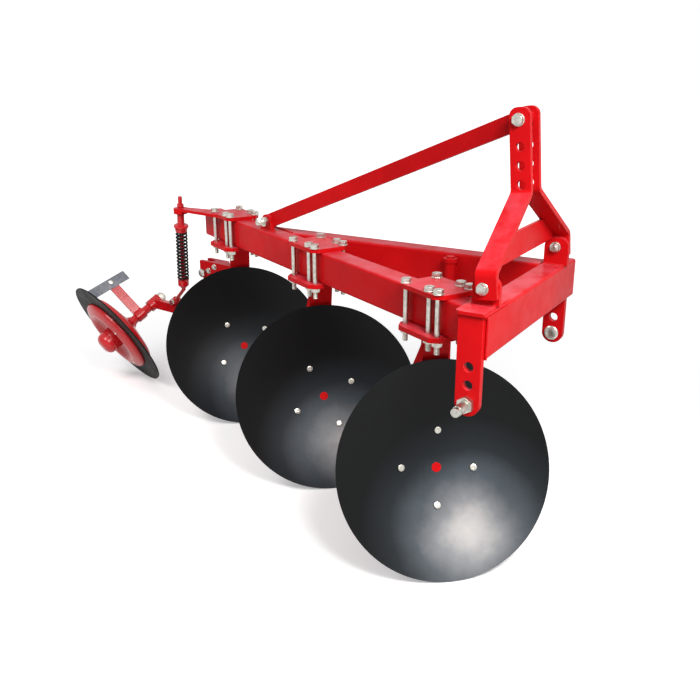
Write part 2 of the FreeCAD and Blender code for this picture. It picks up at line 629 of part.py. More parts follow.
# ---------------------------------------------------------------- lower hitch
def hitch_bracket(label, inner, top, ahead):
    """Drilled plate that carries a lower-link pin."""
    body = new_body(label)
    outline = new_sketch(body, label + "_outline", "YZ_Plane")
    half = "Sizes.hitch_wide / 2"
    add_loop(outline, corners_of("-" + half, "-Sizes.hitch_foot", half, top))
    for hole in range(int(size("Sizes.hitch_holes"))):
        add_circle(outline, "0", "%d * Sizes.hitch_pitch" % hole, "Sizes.link_pin_radius + Sizes.running_gap")
    pad(body, outline, "Sizes.hitch_thick")
    lower = [Vector(0, side * size(half), size("-Sizes.hitch_foot")) for side in (-1, 1)]
    round_corners(body, RIGHT, lower, "Sizes.hitch_round")
    keep(body, label, point((inner, "Sizes.cross_rear + " + ahead, PIN_HIGH)))


hitch_bracket("hitch_bracket_right", "Sizes.hitch_right - Sizes.hitch_thick",
              "Sizes.hitch_drop + Sizes.beam_high", "Sizes.cross_wide / 2")
hitch_bracket("hitch_bracket_left", HITCH_LEFT,
              "Sizes.hitch_drop + Sizes.beam_high - Sizes.cross_high", "Sizes.hitch_wide / 2")


def lower_pin(label, outer_face, side, ahead):
    """Lower-link pin with a round head inside its bracket and a nut outside."""
    out = Vector(side, 0, 0)
    face = point((outer_face, "Sizes.cross_rear + " + ahead, PIN_HIGH))
    inside = face - out * size("Sizes.hitch_thick + Sizes.link_head")
    stud = bar(label + "_stud", "Sizes.link_stud",
               "Sizes.link_nut + Sizes.hitch_thick + Sizes.link_head", inside, out)
    seat = bar(label + "_seat", "Sizes.link_pin_radius", LINK_SEAT, face + out * size("Sizes.link_nut"), out)
    end = bar(label + "_end", "Sizes.link_end", "Sizes.link_pin_long", face, out)
    head = bar(label + "_head", "Sizes.link_head_radius", "Sizes.link_head", inside, out)
    nut = hexagon(label + "_nut", "Sizes.link_nut_wide", "Sizes.link_nut", face, out)
    solid = fuse(label + "_solid", [stud, seat, end, head, nut])
    drill = face + out * size("Sizes.link_pin_long - Sizes.linch_end") - UP * size("Sizes.link_nut_wide")
    hole = bar(label + "_hole", "Sizes.linch_hole", "Sizes.link_nut_wide * 2", drill)
    keep(take(label, solid, hole), label)


LINK_SEAT = "(Sizes.link_pin_long - Sizes.link_nut - Sizes.linch_end - Sizes.linch_hole * 1.2)"
lower_pin("hitch_pin_right", "Sizes.hitch_right", 1, "Sizes.cross_wide / 2")
lower_pin("hitch_pin_left", HITCH_LEFT, -1, "Sizes.hitch_wide / 2")


# ---------------------------------------------------------------- mast
FOOT = (MAST_MIDDLE, "Sizes.foot_ahead", BEAM_TOP + " + Sizes.foot_above")
MAST_AT = point(FOOT) + MAST_LEAN.multVec(Vector(0, size("Sizes.mast_set"), 0))
MAST_SLOPE = "atan((Sizes.mast_foot - Sizes.mast_top) / (Sizes.mast_high_bend - Sizes.mast_low_bend))"
BEND_SHIFT = "Sizes.mast_thick * tan(%s / 2)" % MAST_SLOPE


def mast_bar(label, side):
    """Flat bar bent twice, with the foot hole, the top-link holes and the stay bolt's hole."""
    body = new_body(label)
    outline = new_sketch(body, label + "_outline", "XZ_Plane")
    outer_foot = "%d * Sizes.mast_foot" % side
    inner_foot = "%d * (Sizes.mast_foot - Sizes.mast_thick)" % side
    outer_top = "%d * Sizes.mast_top" % side
    inner_top = "%d * (Sizes.mast_top - Sizes.mast_thick)" % side
    low_inner = "Sizes.mast_low_bend - " + BEND_SHIFT
    high_inner = "Sizes.mast_high_bend - " + BEND_SHIFT
    add_loop(outline, [(outer_foot, "-Sizes.mast_heel"), (outer_foot, "Sizes.mast_low_bend"),
                       (outer_top, "Sizes.mast_high_bend"), (outer_top, "Sizes.mast_high"),
                       (inner_top, "Sizes.mast_high"), (inner_top, high_inner),
                       (inner_foot, low_inner), (inner_foot, "-Sizes.mast_heel")])
    pad(body, outline, "Sizes.mast_wide", middle=True)
    outside = [Vector(size(outer_foot), 0, size("Sizes.mast_low_bend")),
               Vector(size(inner_top), 0, size(high_inner))]
    inside = [Vector(size(inner_foot), 0, size(low_inner)),
              Vector(size(outer_top), 0, size("Sizes.mast_high_bend"))]
    round_corners(body, AHEAD, outside, "Sizes.mast_bend + Sizes.mast_thick")
    round_corners(body, AHEAD, inside, "Sizes.mast_bend")
    half = size("Sizes.mast_wide / 2")
    for high, radius in (("-Sizes.mast_heel", "Sizes.mast_foot_round"),
                         ("Sizes.mast_high", "Sizes.mast_round")):
        ends = [Vector(0, edge, size(high)) for edge in (-half, half)]
        round_corners(body, RIGHT, ends, radius)
    holes = new_sketch(body, label + "_holes", "YZ_Plane")
    add_circle(holes, "-Sizes.mast_set", "0", "Sizes.foot_bolt + Sizes.hole_gap")
    for hole in range(int(size("Sizes.mast_holes"))):
        add_circle(holes, "0", "Sizes.mast_hole_low + %d * Sizes.mast_pitch" % hole, "Sizes.mast_hole_radius")
    add_circle(holes, "-Sizes.mast_bolt_set", "Sizes.mast_bolt_high", "Sizes.stay_bolt + Sizes.hole_gap")
    cut(body, holes)
    keep(body, label, MAST_AT, MAST_LEAN)


mast_bar("mast_bar_right", 1)
mast_bar("mast_bar_left", -1)

# tie bar: fills the bottom of the A, flush with the back of the mast bars
tie_bar = new_body("mast_tie_bar")
tie_outline = new_sketch(tie_bar, "tie_outline", "XZ_Plane")
tie_foot = "(Sizes.mast_foot - Sizes.mast_thick - Sizes.lug_thick - Sizes.running_gap)"
tie_high = "(Sizes.tie_low + Sizes.tie_wide)"
slope_at = "(Sizes.mast_low_bend - %s + (Sizes.mast_foot - Sizes.mast_thick - %%s) / tan(%s))" % (
    BEND_SHIFT, MAST_SLOPE)
tie_end = "(Sizes.mast_foot - Sizes.mast_thick - (%s - Sizes.mast_low_bend + %s) * tan(%s))" % (
    tie_high, BEND_SHIFT, MAST_SLOPE)
add_loop(tie_outline, [(tie_foot, "Sizes.tie_low"), (tie_foot, slope_at % tie_foot), (tie_end, tie_high),
                       ("-" + tie_end, tie_high), ("-" + tie_foot, slope_at % tie_foot),
                       ("-" + tie_foot, "Sizes.tie_low")])
pad(tie_bar, tie_outline, "Sizes.tie_thick")
tie_back = Vector(0, size("Sizes.tie_thick - Sizes.mast_wide / 2"), 0)
keep(tie_bar, "mast_tie_bar", MAST_AT + MAST_LEAN.multVec(tie_back), MAST_LEAN)


def mast_lug(label, side, bottom):
    """Drilled lug that carries one foot of the mast."""
    body = new_body(label)
    outline = new_sketch(body, label + "_outline", "YZ_Plane")
    rear = "-Sizes.lug_wide / 2"
    front = "Sizes.lug_wide / 2 + Sizes.lug_ahead"
    add_loop(outline, corners_of(rear, bottom + " - Sizes.foot_above", front, "Sizes.lug_up"))
    add_circle(outline, "0", "0", "Sizes.foot_bolt + Sizes.hole_gap")
    pad(body, outline, "Sizes.lug_thick", back=side > 0)
    upper = [Vector(0, size(edge), size("Sizes.lug_up")) for edge in (rear, front)]
    round_corners(body, RIGHT, upper, "Sizes.lug_round")
    face = "%s + %d * (Sizes.mast_foot - Sizes.mast_thick)" % (MAST_MIDDLE, side)
    keep(body, label, point((face, FOOT[1], FOOT[2])))


mast_lug("mast_lug_right", 1, "Sizes.corner_thick")
mast_lug("mast_lug_left", -1, "0")


def hex_bolt(name, radius, grip, head_at, direction, thread):
    """Hexagonal bolt through a grip, with its nut and some bare thread."""
    shank = bar(name + "_shank", radius, "%s + 2.4 * %s + %s" % (grip, radius, thread),
                head_at - direction * size("0.7 * %s" % radius), direction)
    head = hexagon(name + "_head", "1.75 * %s" % radius, "1.3 * %s" % radius, head_at, -direction)
    nut = hexagon(name + "_nut", "1.75 * %s" % radius, "1.6 * %s" % radius,
                  head_at + direction * size(grip), direction)
    return fuse(name, [shank, head, nut])


foot_bolts = []
for side, word in ((1, "right"), (-1, "left")):
    outer = point(("%s + %d * Sizes.mast_foot" % (MAST_MIDDLE, side), FOOT[1], FOOT[2]))
    foot_bolts.append(hex_bolt("foot_bolt_" + word, "Sizes.foot_bolt",
                               "(Sizes.mast_thick + Sizes.lug_thick)", outer, Vector(-side, 0, 0), "4"))
keep(gather("mast_foot_bolts", foot_bolts), "mast_foot_bolts")

bolt_end = point(STAY_FRONT) + RIGHT * size("Sizes.mast_top")
top_bolt = hex_bolt("mast_top_bolt", "Sizes.stay_bolt", "2 * Sizes.mast_top", bolt_end, -RIGHT, "6")
keep(top_bolt, "mast_top_bolt")

# ---------------------------------------------------------------- top stay
STAY_LONG = between(STAY_REAR, STAY_FRONT)
stay_line = point(STAY_FRONT) - point(STAY_REAR)
stay_plan = Vector(stay_line.x, stay_line.y, 0)
stay_plan.normalize()
stay_side = Vector(stay_plan.y, -stay_plan.x, 0)
STAY_TURN = Rotation(stay_line, -stay_side, UP, "XYZ")
LUG_TURN = Rotation(stay_plan, -stay_side, UP, "XYZ")

stay_bar = new_body("stay_bar")
stay_outline = new_sketch(stay_bar, "stay_outline", "XZ_Plane")
stay_half = "Sizes.stay_wide / 2"
add_loop(stay_outline, corners_of("-" + stay_half, "-" + stay_half, STAY_LONG, stay_half))
pad(stay_bar, stay_outline, "Sizes.stay_thick", middle=True)
stay_ends = [Vector(-size(stay_half), 0, edge * size(stay_half)) for edge in (-1, 1)]
round_corners(stay_bar, AHEAD, stay_ends, stay_half + " - Sizes.hole_gap")
stay_hole = new_sketch(stay_bar, "stay_hole", "XZ_Plane")
add_circle(stay_hole, "0", "0", "Sizes.stay_bolt + Sizes.hole_gap")
cut(stay_bar, stay_hole)
stay_bar.Placement = Placement(point(STAY_REAR), STAY_TURN)
EYE_LONG = "(2 * (Sizes.mast_top - Sizes.mast_thick - Sizes.running_gap))"
eye_end = point(STAY_FRONT) - RIGHT * size(EYE_LONG + " / 2")
eye_tube = bar("stay_eye_tube", "Sizes.stay_eye", EYE_LONG, eye_end, RIGHT)
eye_bore = bar("stay_eye_bore", "Sizes.stay_bolt + Sizes.hole_gap", EYE_LONG + " * 2",
               eye_end - RIGHT * size(EYE_LONG + " / 2"), RIGHT)
keep(take("top_stay", fuse("stay_welded", [stay_bar, eye_tube]), eye_bore), "top_stay")

stay_lug = new_body("stay_lug")
lug_outline = new_sketch(stay_lug, "lug_outline", "XZ_Plane")
lug_foot = "Sizes.stay_wide * 0.7"
add_loop(lug_outline, [("-" + lug_foot, "-Sizes.stay_above"), (lug_foot, "-Sizes.stay_above"),
                       (stay_half, "0"), (stay_half, stay_half), ("-" + stay_half, stay_half),
                       ("-" + stay_half, "0")])
add_circle(lug_outline, "0", "0", "Sizes.stay_bolt + Sizes.hole_gap")
pad(stay_lug, lug_outline, "Sizes.stay_lug")
lug_top = [Vector(edge * size(stay_half), 0, size(stay_half)) for edge in (-1, 1)]
round_corners(stay_lug, AHEAD, lug_top, stay_half + " - Sizes.hole_gap * 4")
beside_stay = stay_side * size("Sizes.stay_thick / 2 + Sizes.running_gap")
keep(stay_lug, "stay_lug", point(STAY_REAR) + beside_stay, LUG_TURN)

stay_grip = "(Sizes.stay_thick + Sizes.stay_lug + Sizes.running_gap)"
stay_head = point(STAY_REAR) - stay_side * size("Sizes.stay_thick / 2")
keep(hex_bolt("stay_bolt", "Sizes.stay_bolt", stay_grip, stay_head, stay_side, "Sizes.stay_thread"),
     "stay_bolt")

# ---------------------------------------------------------------- clamps
CLAMP_ROWS = ("Sizes.clamp_rear", "Sizes.clamp_middle", "Sizes.clamp_front")
CLAMP_SIDES = ("(Sizes.beam_side - Sizes.clamp_half)", "(Sizes.beam_side + Sizes.clamp_half)")


def clamp_outline(body, name, edge):
    """Plate with cut corners round the six bolts of a clamp."""
    sketch = new_sketch(body, name, "XY_Plane")
    left = "Sizes.beam_side - Sizes.clamp_half - " + edge
    right = "Sizes.beam_side + Sizes.clamp_half + " + edge
    rear = "-Sizes.clamp_rear - Sizes.clamp_end"
    front = "Sizes.clamp_end - Sizes.clamp_front"
    step = "Sizes.clamp_corner"
    add_loop(sketch, [(left, "%s + %s" % (rear, step)), ("%s + %s" % (left, step), rear),
                      ("%s - %s" % (right, step), rear), (right, "%s + %s" % (rear, step)),
                      (right, "%s - %s" % (front, step)), ("%s - %s" % (right, step), front),
                      ("%s + %s" % (left, step), front), (left, "%s - %s" % (front, step))])
    return sketch


def clamp_holes(body, name):
    """Drill a clamp plate for its six bolts."""
    sketch = new_sketch(body, name, "XY_Plane")
    for row in CLAMP_ROWS:
        for side in CLAMP_SIDES:
            add_circle(sketch, side, "-" + row, "Sizes.clamp_bolt + Sizes.hole_gap")
    cut(body, sketch)


def guide_arm(body):
    """Arm of the last clamp's top plate, with the drilled boss that guides the spring rod."""
    arm = new_sketch(body, "guide_arm", "XY_Plane")
    half = "Sizes.guide_arm / 2"
    add_loop(arm, [("Sizes.beam_side", "-Sizes.clamp_rear"),
                   ("Sizes.guide_side - Sizes.guide_radius / 2", "-Sizes.guide_along - " + half),
                   ("Sizes.guide_side + Sizes.guide_radius / 2", "-Sizes.guide_along + " + half),
                   ("Sizes.beam_side + Sizes.clamp_half", "-Sizes.clamp_middle")])
    pad(body, arm, "Sizes.guide_high / 2")
    boss = new_sketch(body, "guide_boss", "XY_Plane")
    add_circle(boss, "Sizes.guide_side", "-Sizes.guide_along", "Sizes.guide_radius")
    pad(body, boss, "Sizes.guide_high", middle=True)
    hole = new_sketch(body, "guide_hole", "XY_Plane")
    add_circle(hole, "Sizes.guide_side", "-Sizes.guide_along", "Sizes.guide_bore")
    cut(body, hole)


for number in range(int(size("Sizes.disc_count"))):
    name = "clamp_plate_%d" % (number + 1)
    plate = new_body(name)
    pad(plate, clamp_outline(plate, name + "_outline", "Sizes.clamp_edge"), "Sizes.clamp_top")
    if number == int(size("Sizes.disc_count")) - 1:
        guide_arm(plate)
    clamp_holes(plate, name + "_holes")
    here = "%d * Sizes.disc_gap" % number
    keep(plate, name, point(on_beam(here, "0", BEAM_TOP)), BEAM_TURN)
    name = "clamp_lower_plate_%d" % (number + 1)
    plate = new_body(name)
    outline = clamp_outline(plate, name + "_outline", "Sizes.clamp_low_edge")
    pad(plate, outline, "Sizes.clamp_low", back=True)
    clamp_holes(plate, name + "_holes")
    keep(plate, name, point(on_beam(here, "0", BEAM_UNDER)), BEAM_TURN)
    bolts = []
    grip = "(Sizes.clamp_top + Sizes.beam_high + Sizes.clamp_low)"
    for row in CLAMP_ROWS:
        for side in CLAMP_SIDES:
            top = point(on_beam("%s + %s" % (here, row), side, BEAM_TOP + " + Sizes.clamp_top"))
            step = "clamp_bolt_%d_%d" % (number + 1, len(bolts) + 1)
            shank = bar(step + "_shank", "Sizes.clamp_bolt",
                        grip + " + Sizes.clamp_nut + Sizes.clamp_thread", top, -UP)
            washer = bar(step + "_washer", "Sizes.washer_radius", "Sizes.clamp_washer", top)
            head = hexagon(step + "_head", "Sizes.clamp_hex", "Sizes.clamp_head",
                           top + UP * size("Sizes.clamp_washer"))
            nut = hexagon(step + "_nut", "Sizes.clamp_hex", "Sizes.clamp_nut", top - UP * size(grip), -UP)
            bolts.append(fuse(step, [shank, washer, head, nut]))
    name = "clamp_bolts_%d" % (number + 1)
    keep(gather(name, bolts), name)


# ---------------------------------------------------------------- discs
SPHERE_UP = "sqrt(Sizes.disc_sphere^2 - Sizes.disc_radius^2)"
BACK_SPHERE = "(Sizes.disc_sphere + Sizes.disc_thick)"
SEAT_SPHERE = "(Sizes.disc_sphere + Sizes.disc_thick + Sizes.running_gap)"
REAR_SPHERE = "(Sizes.disc_sphere + Sizes.disc_thick + Sizes.running_gap + Sizes.flange_thick)"
BOSS_BACK = "(Sizes.boss_gap - Sizes.housing_front)"


def on_sphere(sphere, radius):
    """Height of a sphere's surface at a radius, measured from the disc's rim plane."""
    return "(%s - sqrt(%s^2 - (%s)^2))" % (SPHERE_UP, sphere, radius)


def add_profile(sketch, steps):
    """Closed half section: each step is a radius, a height, and the sphere that the edge after
    it follows, or None where that edge is straight."""
    count = len(steps)
    middle = Vector(0, size(SPHERE_UP), 0)
    starts = []
    ends = []
    for step, (radius, height, sphere) in enumerate(steps):
        start = Vector(size(radius), size(height), 0)
        end = Vector(size(steps[(step + 1) % count][0]), size(steps[(step + 1) % count][1]), 0)
        if sphere is None:
            edge = Part.LineSegment(start, end)
        else:
            circle = Part.Circle(middle, UP, size(sphere))
            near, far = sorted([circle.parameter(start), circle.parameter(end)])
            edge = Part.ArcOfCircle(circle, near, far)
        index = sketch.addGeometry(edge, False)
        forward = sphere is None or end.x > start.x
        starts.append((index, 1 if forward else 2))
        ends.append((index, 2 if forward else 1))
        if sphere is not None:
            set_rule(sketch, Sketcher.Constraint("Radius", index, size(sphere)), sphere)
            pin_point(sketch, index, 3, "0", SPHERE_UP)
    for step, (radius, height, sphere) in enumerate(steps):
        here, before = starts[step], ends[step - 1]
        sketch.addConstraint(Sketcher.Constraint("Coincident", before[0], before[1], here[0], here[1]))
        set_rule(sketch, Sketcher.Constraint("DistanceX", -1, 1, here[0], here[1], size(radius)), radius)
        if sphere is None and steps[step - 1][2] is None:
            set_rule(sketch, Sketcher.Constraint("DistanceY", -1, 1, here[0], here[1], size(height)), height)


def ring_of_holes(name):
    """Holes for the disc bolts, square to the sphere of the disc."""
    tools = []
    for step in range(int(size("Sizes.disc_bolt_count"))):
        start, out = bolt_line(step)
        start = start - out * size("Sizes.flange_thick * 2")
        tools.append(bar("%s_%d" % (name, step + 1), BOLT_HOLE, "Sizes.flange_thick * 6", start, out))
    return gather(name + "s", tools)


def bolt_line(step):
    """Start on the hollow face, and direction to the back, of one disc bolt in the disc's frame."""
    lean = size("asin(Sizes.disc_bolt_circle / Sizes.disc_sphere)")
    out = Rotation(UP, 360.0 * step / size("Sizes.disc_bolt_count")).multiply(
        Rotation(AHEAD, -lean)).multVec(-UP)
    return Vector(0, 0, size(SPHERE_UP)) + out * size("Sizes.disc_sphere - Sizes.running_gap"), out


BOLT_HOLE = "(Sizes.disc_bolt_radius + Sizes.hole_gap)"
NOSE_HOLE = "(Sizes.nose_radius + Sizes.running_gap)"
BEVEL = "(Sizes.disc_radius - Sizes.disc_bevel)"

for number in range(int(size("Sizes.disc_count"))):
    tag = "_%d" % (number + 1)
    turn = DISC_TURN.multiply(Rotation(UP, DISC_PHASES[number % len(DISC_PHASES)]))
    middle = disc_middle(number)

    # disc: spherical dish with a bevelled rim
    dish = new_body("dish" + tag)
    section = new_sketch(dish, "dish_section" + tag, "XZ_Plane")
    add_profile(section, [(NOSE_HOLE, on_sphere("Sizes.disc_sphere", NOSE_HOLE), "Sizes.disc_sphere"),
                          ("Sizes.disc_radius", "0", None),
                          ("Sizes.disc_radius", "-Sizes.disc_land", None),
                          (BEVEL, on_sphere(BACK_SPHERE, BEVEL), BACK_SPHERE),
                          (NOSE_HOLE, on_sphere(BACK_SPHERE, NOSE_HOLE), None)])
    revolve(dish, section)
    drills = ring_of_holes("dish_hole" + tag)
    keep(take("disc" + tag, dish, drills), "disc" + tag, middle, turn)

    # hub: spherical flange behind the disc, with its nose and its spindle
    hub = new_body("hub" + tag)
    section = new_sketch(hub, "hub_section" + tag, "XZ_Plane")
    nose = "(%s + Sizes.nose_proud)" % on_sphere("Sizes.disc_sphere", "0")
    add_profile(section, [("0", nose, None),
                          ("Sizes.nose_radius", nose, None),
                          ("Sizes.nose_radius", on_sphere(SEAT_SPHERE, "Sizes.nose_radius"), SEAT_SPHERE),
                          ("Sizes.flange_radius", on_sphere(SEAT_SPHERE, "Sizes.flange_radius"), None),
                          ("Sizes.flange_radius", on_sphere(REAR_SPHERE, "Sizes.flange_radius"), REAR_SPHERE),
                          ("Sizes.boss_radius", on_sphere(REAR_SPHERE, "Sizes.boss_radius"), None),
                          ("Sizes.boss_radius", BOSS_BACK, None),
                          ("Sizes.spindle_radius", BOSS_BACK, None),
                          ("Sizes.spindle_radius", BOSS_BACK + " - Sizes.spindle_long", None),
                          ("0", BOSS_BACK + " - Sizes.spindle_long", None)])
    revolve(hub, section)
    drills = ring_of_holes("hub_hole" + tag)
    keep(take("disc_hub" + tag, hub, drills), "disc_hub" + tag, middle, turn)

    # disc bolts: round heads in the hollow face, nuts behind the flange
    bolts = []
    for step in range(int(size("Sizes.disc_bolt_count"))):
        start, out = bolt_line(step)
        grip = "(%s - Sizes.disc_sphere + Sizes.running_gap * 2)" % REAR_SPHERE
        name = "disc_bolt%s_%d" % (tag, step + 1)
        shank = bar(name + "_shank", "Sizes.disc_bolt_radius",
                    grip + " + Sizes.disc_bolt_radius * 2", start, out)
        head = bar(name + "_head", "Sizes.disc_bolt_head", "Sizes.disc_bolt_radius", start, -out)
        nut = hexagon(name + "_nut", "Sizes.disc_bolt_head", "Sizes.disc_bolt_radius * 1.6",
                      start + out * size(grip), out)
        bolts.append(fuse(name, [shank, head, nut]))
    keep(gather("disc_bolts" + tag, bolts), "disc_bolts" + tag, middle, turn)

    # leg: cast upright that carries the bearing housing
    upright = new_body("upright" + tag)
    outline = new_sketch(upright, "upright_outline" + tag, "YZ_Plane")
    top = "(%s - %s)" % (CLAMP_UNDER, DISC_HIGH)
    shoulder = "(%s - Sizes.leg_neck)" % top
    low_front = "(-(Sizes.housing_front + Sizes.housing_long * 0.4) * cos(Sizes.disc_tilt))"
    low_back = "(-(Sizes.housing_front + Sizes.housing_long * 0.95) * cos(Sizes.disc_tilt))"
    low = "(-(Sizes.housing_front + Sizes.housing_long * 0.7) * sin(Sizes.disc_tilt))"
    add_loop(outline, [("-Sizes.leg_top_front", top), ("-Sizes.leg_top_back", top),
                       ("-Sizes.leg_top_back", shoulder),
                       ("-Sizes.leg_back", shoulder + " - Sizes.leg_slope"),
                       ("-Sizes.leg_back", "0"), (low_back, low), (low_front, low),
                       ("-Sizes.leg_front", top + " - Sizes.leg_rake")])
    pad(upright, outline, "Sizes.leg_wide", middle=True)
    bends = [Vector(0, size("-Sizes.leg_top_back"), size(shoulder)),
             Vector(0, size("-Sizes.leg_back"), size(shoulder + " - Sizes.leg_slope"))]
    round_corners(upright, RIGHT, bends, "Sizes.leg_round * 2")
    line = Vector(0, size("-cos(Sizes.disc_tilt)"), size("-sin(Sizes.disc_tilt)"))
    housing = bar("housing" + tag, "Sizes.housing_radius", "Sizes.housing_long",
                  line * size("Sizes.housing_front"), line)
    bore = bar("housing_bore" + tag, "Sizes.spindle_radius + Sizes.running_gap",
               "Sizes.housing_long * 3", line * size("Sizes.housing_front - Sizes.housing_long"), line)
    leg = take("disc_leg" + tag, fuse("leg_cast" + tag, [upright, housing]), bore)
    keep(leg, "disc_leg" + tag, middle, LEG_TURN)

    # cap that closes the back of the housing
    cap = bar("hub_cap" + tag, "Sizes.cap_radius", "Sizes.housing_cap")
    back = size("-Sizes.housing_front - Sizes.housing_long - Sizes.housing_cap")
    keep(cap, "hub_cap" + tag, middle + DISC_LINE * back, DISC_TURN)

# ---------------------------------------------------------------- parking stand
STAND = ("(Sizes.stand_off - %s)" % BRACE_RIGHT, "-Sizes.stand_behind", BEAM_TOP + " - Sizes.sleeve_drop")
sleeve_top = point(STAND)
tube = bar("sleeve_tube", "Sizes.sleeve_radius", "Sizes.sleeve_long", sleeve_top, -UP)
collar = bar("sleeve_collar", "Sizes.collar_radius", "Sizes.collar_high", sleeve_top, -UP)
pad_sides = ("Sizes.stand_off", "Sizes.sleeve_pad",
             "Sizes.sleeve_long - Sizes.collar_high - Sizes.sleeve_pad")
pad_at = point(("-" + BRACE_RIGHT, "-Sizes.stand_behind - Sizes.sleeve_pad / 2",
                STAND[2] + " - Sizes.sleeve_long + Sizes.sleeve_pad / 2"))
sleeve = fuse("sleeve_welded", [tube, collar, block("sleeve_pad_block", pad_sides, pad_at)])
sleeve_bore = bar("sleeve_bore", "Sizes.stand_radius + Sizes.running_gap", "Sizes.sleeve_long * 2",
                  sleeve_top + UP * size("Sizes.collar_high"), -UP)
keep(take("stand_sleeve", sleeve, sleeve_bore), "stand_sleeve")

leg_long = STAND[2] + " + Sizes.stand_above"
on_floor = point((STAND[0], STAND[1], "0"))
leg_bar = bar("stand_bar", "Sizes.stand_radius", leg_long, on_floor)
foot = bar("stand_foot", "Sizes.stand_foot", "Sizes.foot_thick", on_floor)
keep(fuse("stand_leg", [leg_bar, foot]), "stand_leg")

# ---------------------------------------------------------------- furrow wheel
wheel_middle = point(WHEEL)
HALF_WHEEL = "Sizes.wheel_thick / 2"
WHEEL_HOLE = "(Sizes.bowl_radius - Sizes.bowl_edge * 4)"

wheel_disc = new_body("tail_wheel_disc")
rim = new_sketch(wheel_disc, "wheel_section", "XZ_Plane")
add_loop(rim, [(WHEEL_HOLE, "-" + HALF_WHEEL), ("Sizes.wheel_radius", "-" + HALF_WHEEL),
               ("Sizes.wheel_radius", HALF_WHEEL), (WHEEL_HOLE, HALF_WHEEL)])
revolve(wheel_disc, rim)
keep(wheel_disc, "tail_wheel_disc", wheel_middle, WHEEL_TURN)

# hub: two pressed bowls with flanges turned inward on the disc, the inner one deeper, joined by
# the barrel; the outer one is riveted
wheel_hub = new_body("wheel_hub")
wall = "Sizes.bowl_thick"
face = "Sizes.wheel_thick / 2"
inside = "Sizes.bowl_radius - Sizes.bowl_edge"
well = "Sizes.nave_radius - " + wall
outer_bowl = new_sketch(wheel_hub, "outer_bowl", "XZ_Plane")
add_loop(outer_bowl, [("Sizes.bowl_radius", face), ("Sizes.bowl_radius", face + " + Sizes.bowl_side"),
                      (inside, face + " + Sizes.bowl_rim"), ("Sizes.bowl_inner", face + " + Sizes.bowl_high"),
                      ("Sizes.bowl_well", face + " + Sizes.bowl_sunk"), (well, face + " + Sizes.bowl_sunk"),
                      (well, face + " + Sizes.bowl_sunk - " + wall),
                      ("Sizes.bowl_well + %s / 2" % wall, face + " + Sizes.bowl_sunk - " + wall),
                      ("Sizes.bowl_inner + %s / 2" % wall, face + " + Sizes.bowl_high - " + wall),
                      (inside + " - %s / 2" % wall, face + " + Sizes.bowl_rim - " + wall),
                      ("Sizes.bowl_radius - " + wall, face + " + Sizes.bowl_side - %s / 2" % wall),
                      ("Sizes.bowl_radius - " + wall, face)])
revolve(wheel_hub, outer_bowl)
inner_bowl = new_sketch(wheel_hub, "inner_bowl", "XZ_Plane")
deep_bowl = [("Sizes.bowl_radius", "0"), ("Sizes.bowl_radius", "Sizes.dish_side"),
             (inside, "Sizes.dish_rim"), ("Sizes.dish_neck", "Sizes.dish_high"),
             ("Sizes.barrel_radius - " + wall, "Sizes.dish_high + " + wall),
             ("Sizes.barrel_radius - " + wall, "Sizes.dish_high"),
             ("Sizes.dish_neck", "Sizes.dish_high - " + wall),
             (inside + " - %s / 2" % wall, "Sizes.dish_rim - " + wall),
             ("Sizes.bowl_radius - " + wall, "Sizes.dish_side - %s / 2" % wall),
             ("Sizes.bowl_radius - " + wall, "0")]
add_loop(inner_bowl, [(radius, "-(%s + %s)" % (face, height)) for radius, height in deep_bowl])
revolve(wheel_hub, inner_bowl)
barrel = new_sketch(wheel_hub, "barrel", "XZ_Plane")
bore_radius = "Sizes.axle_radius + Sizes.running_gap"
dome = [("Sizes.nave_radius * cos(%s)" % angle,
         "Sizes.barrel_front - Sizes.nave_rise * (1 - sin(%s))" % angle) for angle in range(0, 90, 15)]
add_loop(barrel, [(bore_radius, "-Sizes.barrel_back"), ("Sizes.barrel_radius", "-Sizes.barrel_back"),
                  ("Sizes.barrel_radius", face), ("Sizes.nave_radius", face)] + dome
         + [("0", "Sizes.barrel_front"), ("0", "Sizes.barrel_front - Sizes.barrel_cap"),
            (bore_radius, "Sizes.barrel_front - Sizes.barrel_cap")])
revolve(wheel_hub, barrel)
wheel_hub.Placement = Placement(wheel_middle, WHEEL_TURN)
hub_parts = [wheel_hub]
rivet_at = "(%s + Sizes.bowl_rim + (Sizes.rivet_in - Sizes.bowl_edge) * %s)" % (
    face, "(Sizes.bowl_high - Sizes.bowl_rim) / (Sizes.bowl_radius - Sizes.bowl_edge - Sizes.bowl_inner)")
for step in range(int(size("Sizes.rivet_count"))):
    round_at = Rotation(UP, size("Sizes.rivet_turn") + 360.0 * step / size("Sizes.rivet_count"))
    place = round_at.multVec(RIGHT * size("Sizes.bowl_radius - Sizes.rivet_in"))
    place = place + UP * size(rivet_at + " - %s / 2" % wall)
    hub_parts.append(bar("rivet_%d" % (step + 1), "Sizes.rivet_radius", wall + " / 2 + Sizes.rivet_high",
                         wheel_middle + WHEEL_TURN.multVec(place), AXLE_LINE))
keep(fuse("tail_wheel_hub", hub_parts), "tail_wheel_hub")

axle_start = wheel_middle + AXLE_LINE * size("Sizes.barrel_front - Sizes.barrel_cap * 1.5")
AXLE_LONG = "(Sizes.barrel_front - Sizes.barrel_cap * 1.5 + Sizes.socket_at + Sizes.socket_long / 2)"
axle = bar("axle_bar", "Sizes.axle_radius", AXLE_LONG + " + Sizes.axle_nut", axle_start, -AXLE_LINE)
axle_nut = hexagon("axle_nut", "Sizes.axle_nut_wide", "Sizes.axle_nut * 0.8",
                   axle_start - AXLE_LINE * size(AXLE_LONG), -AXLE_LINE)
keep(fuse("tail_axle", [axle, axle_nut]), "tail_axle")

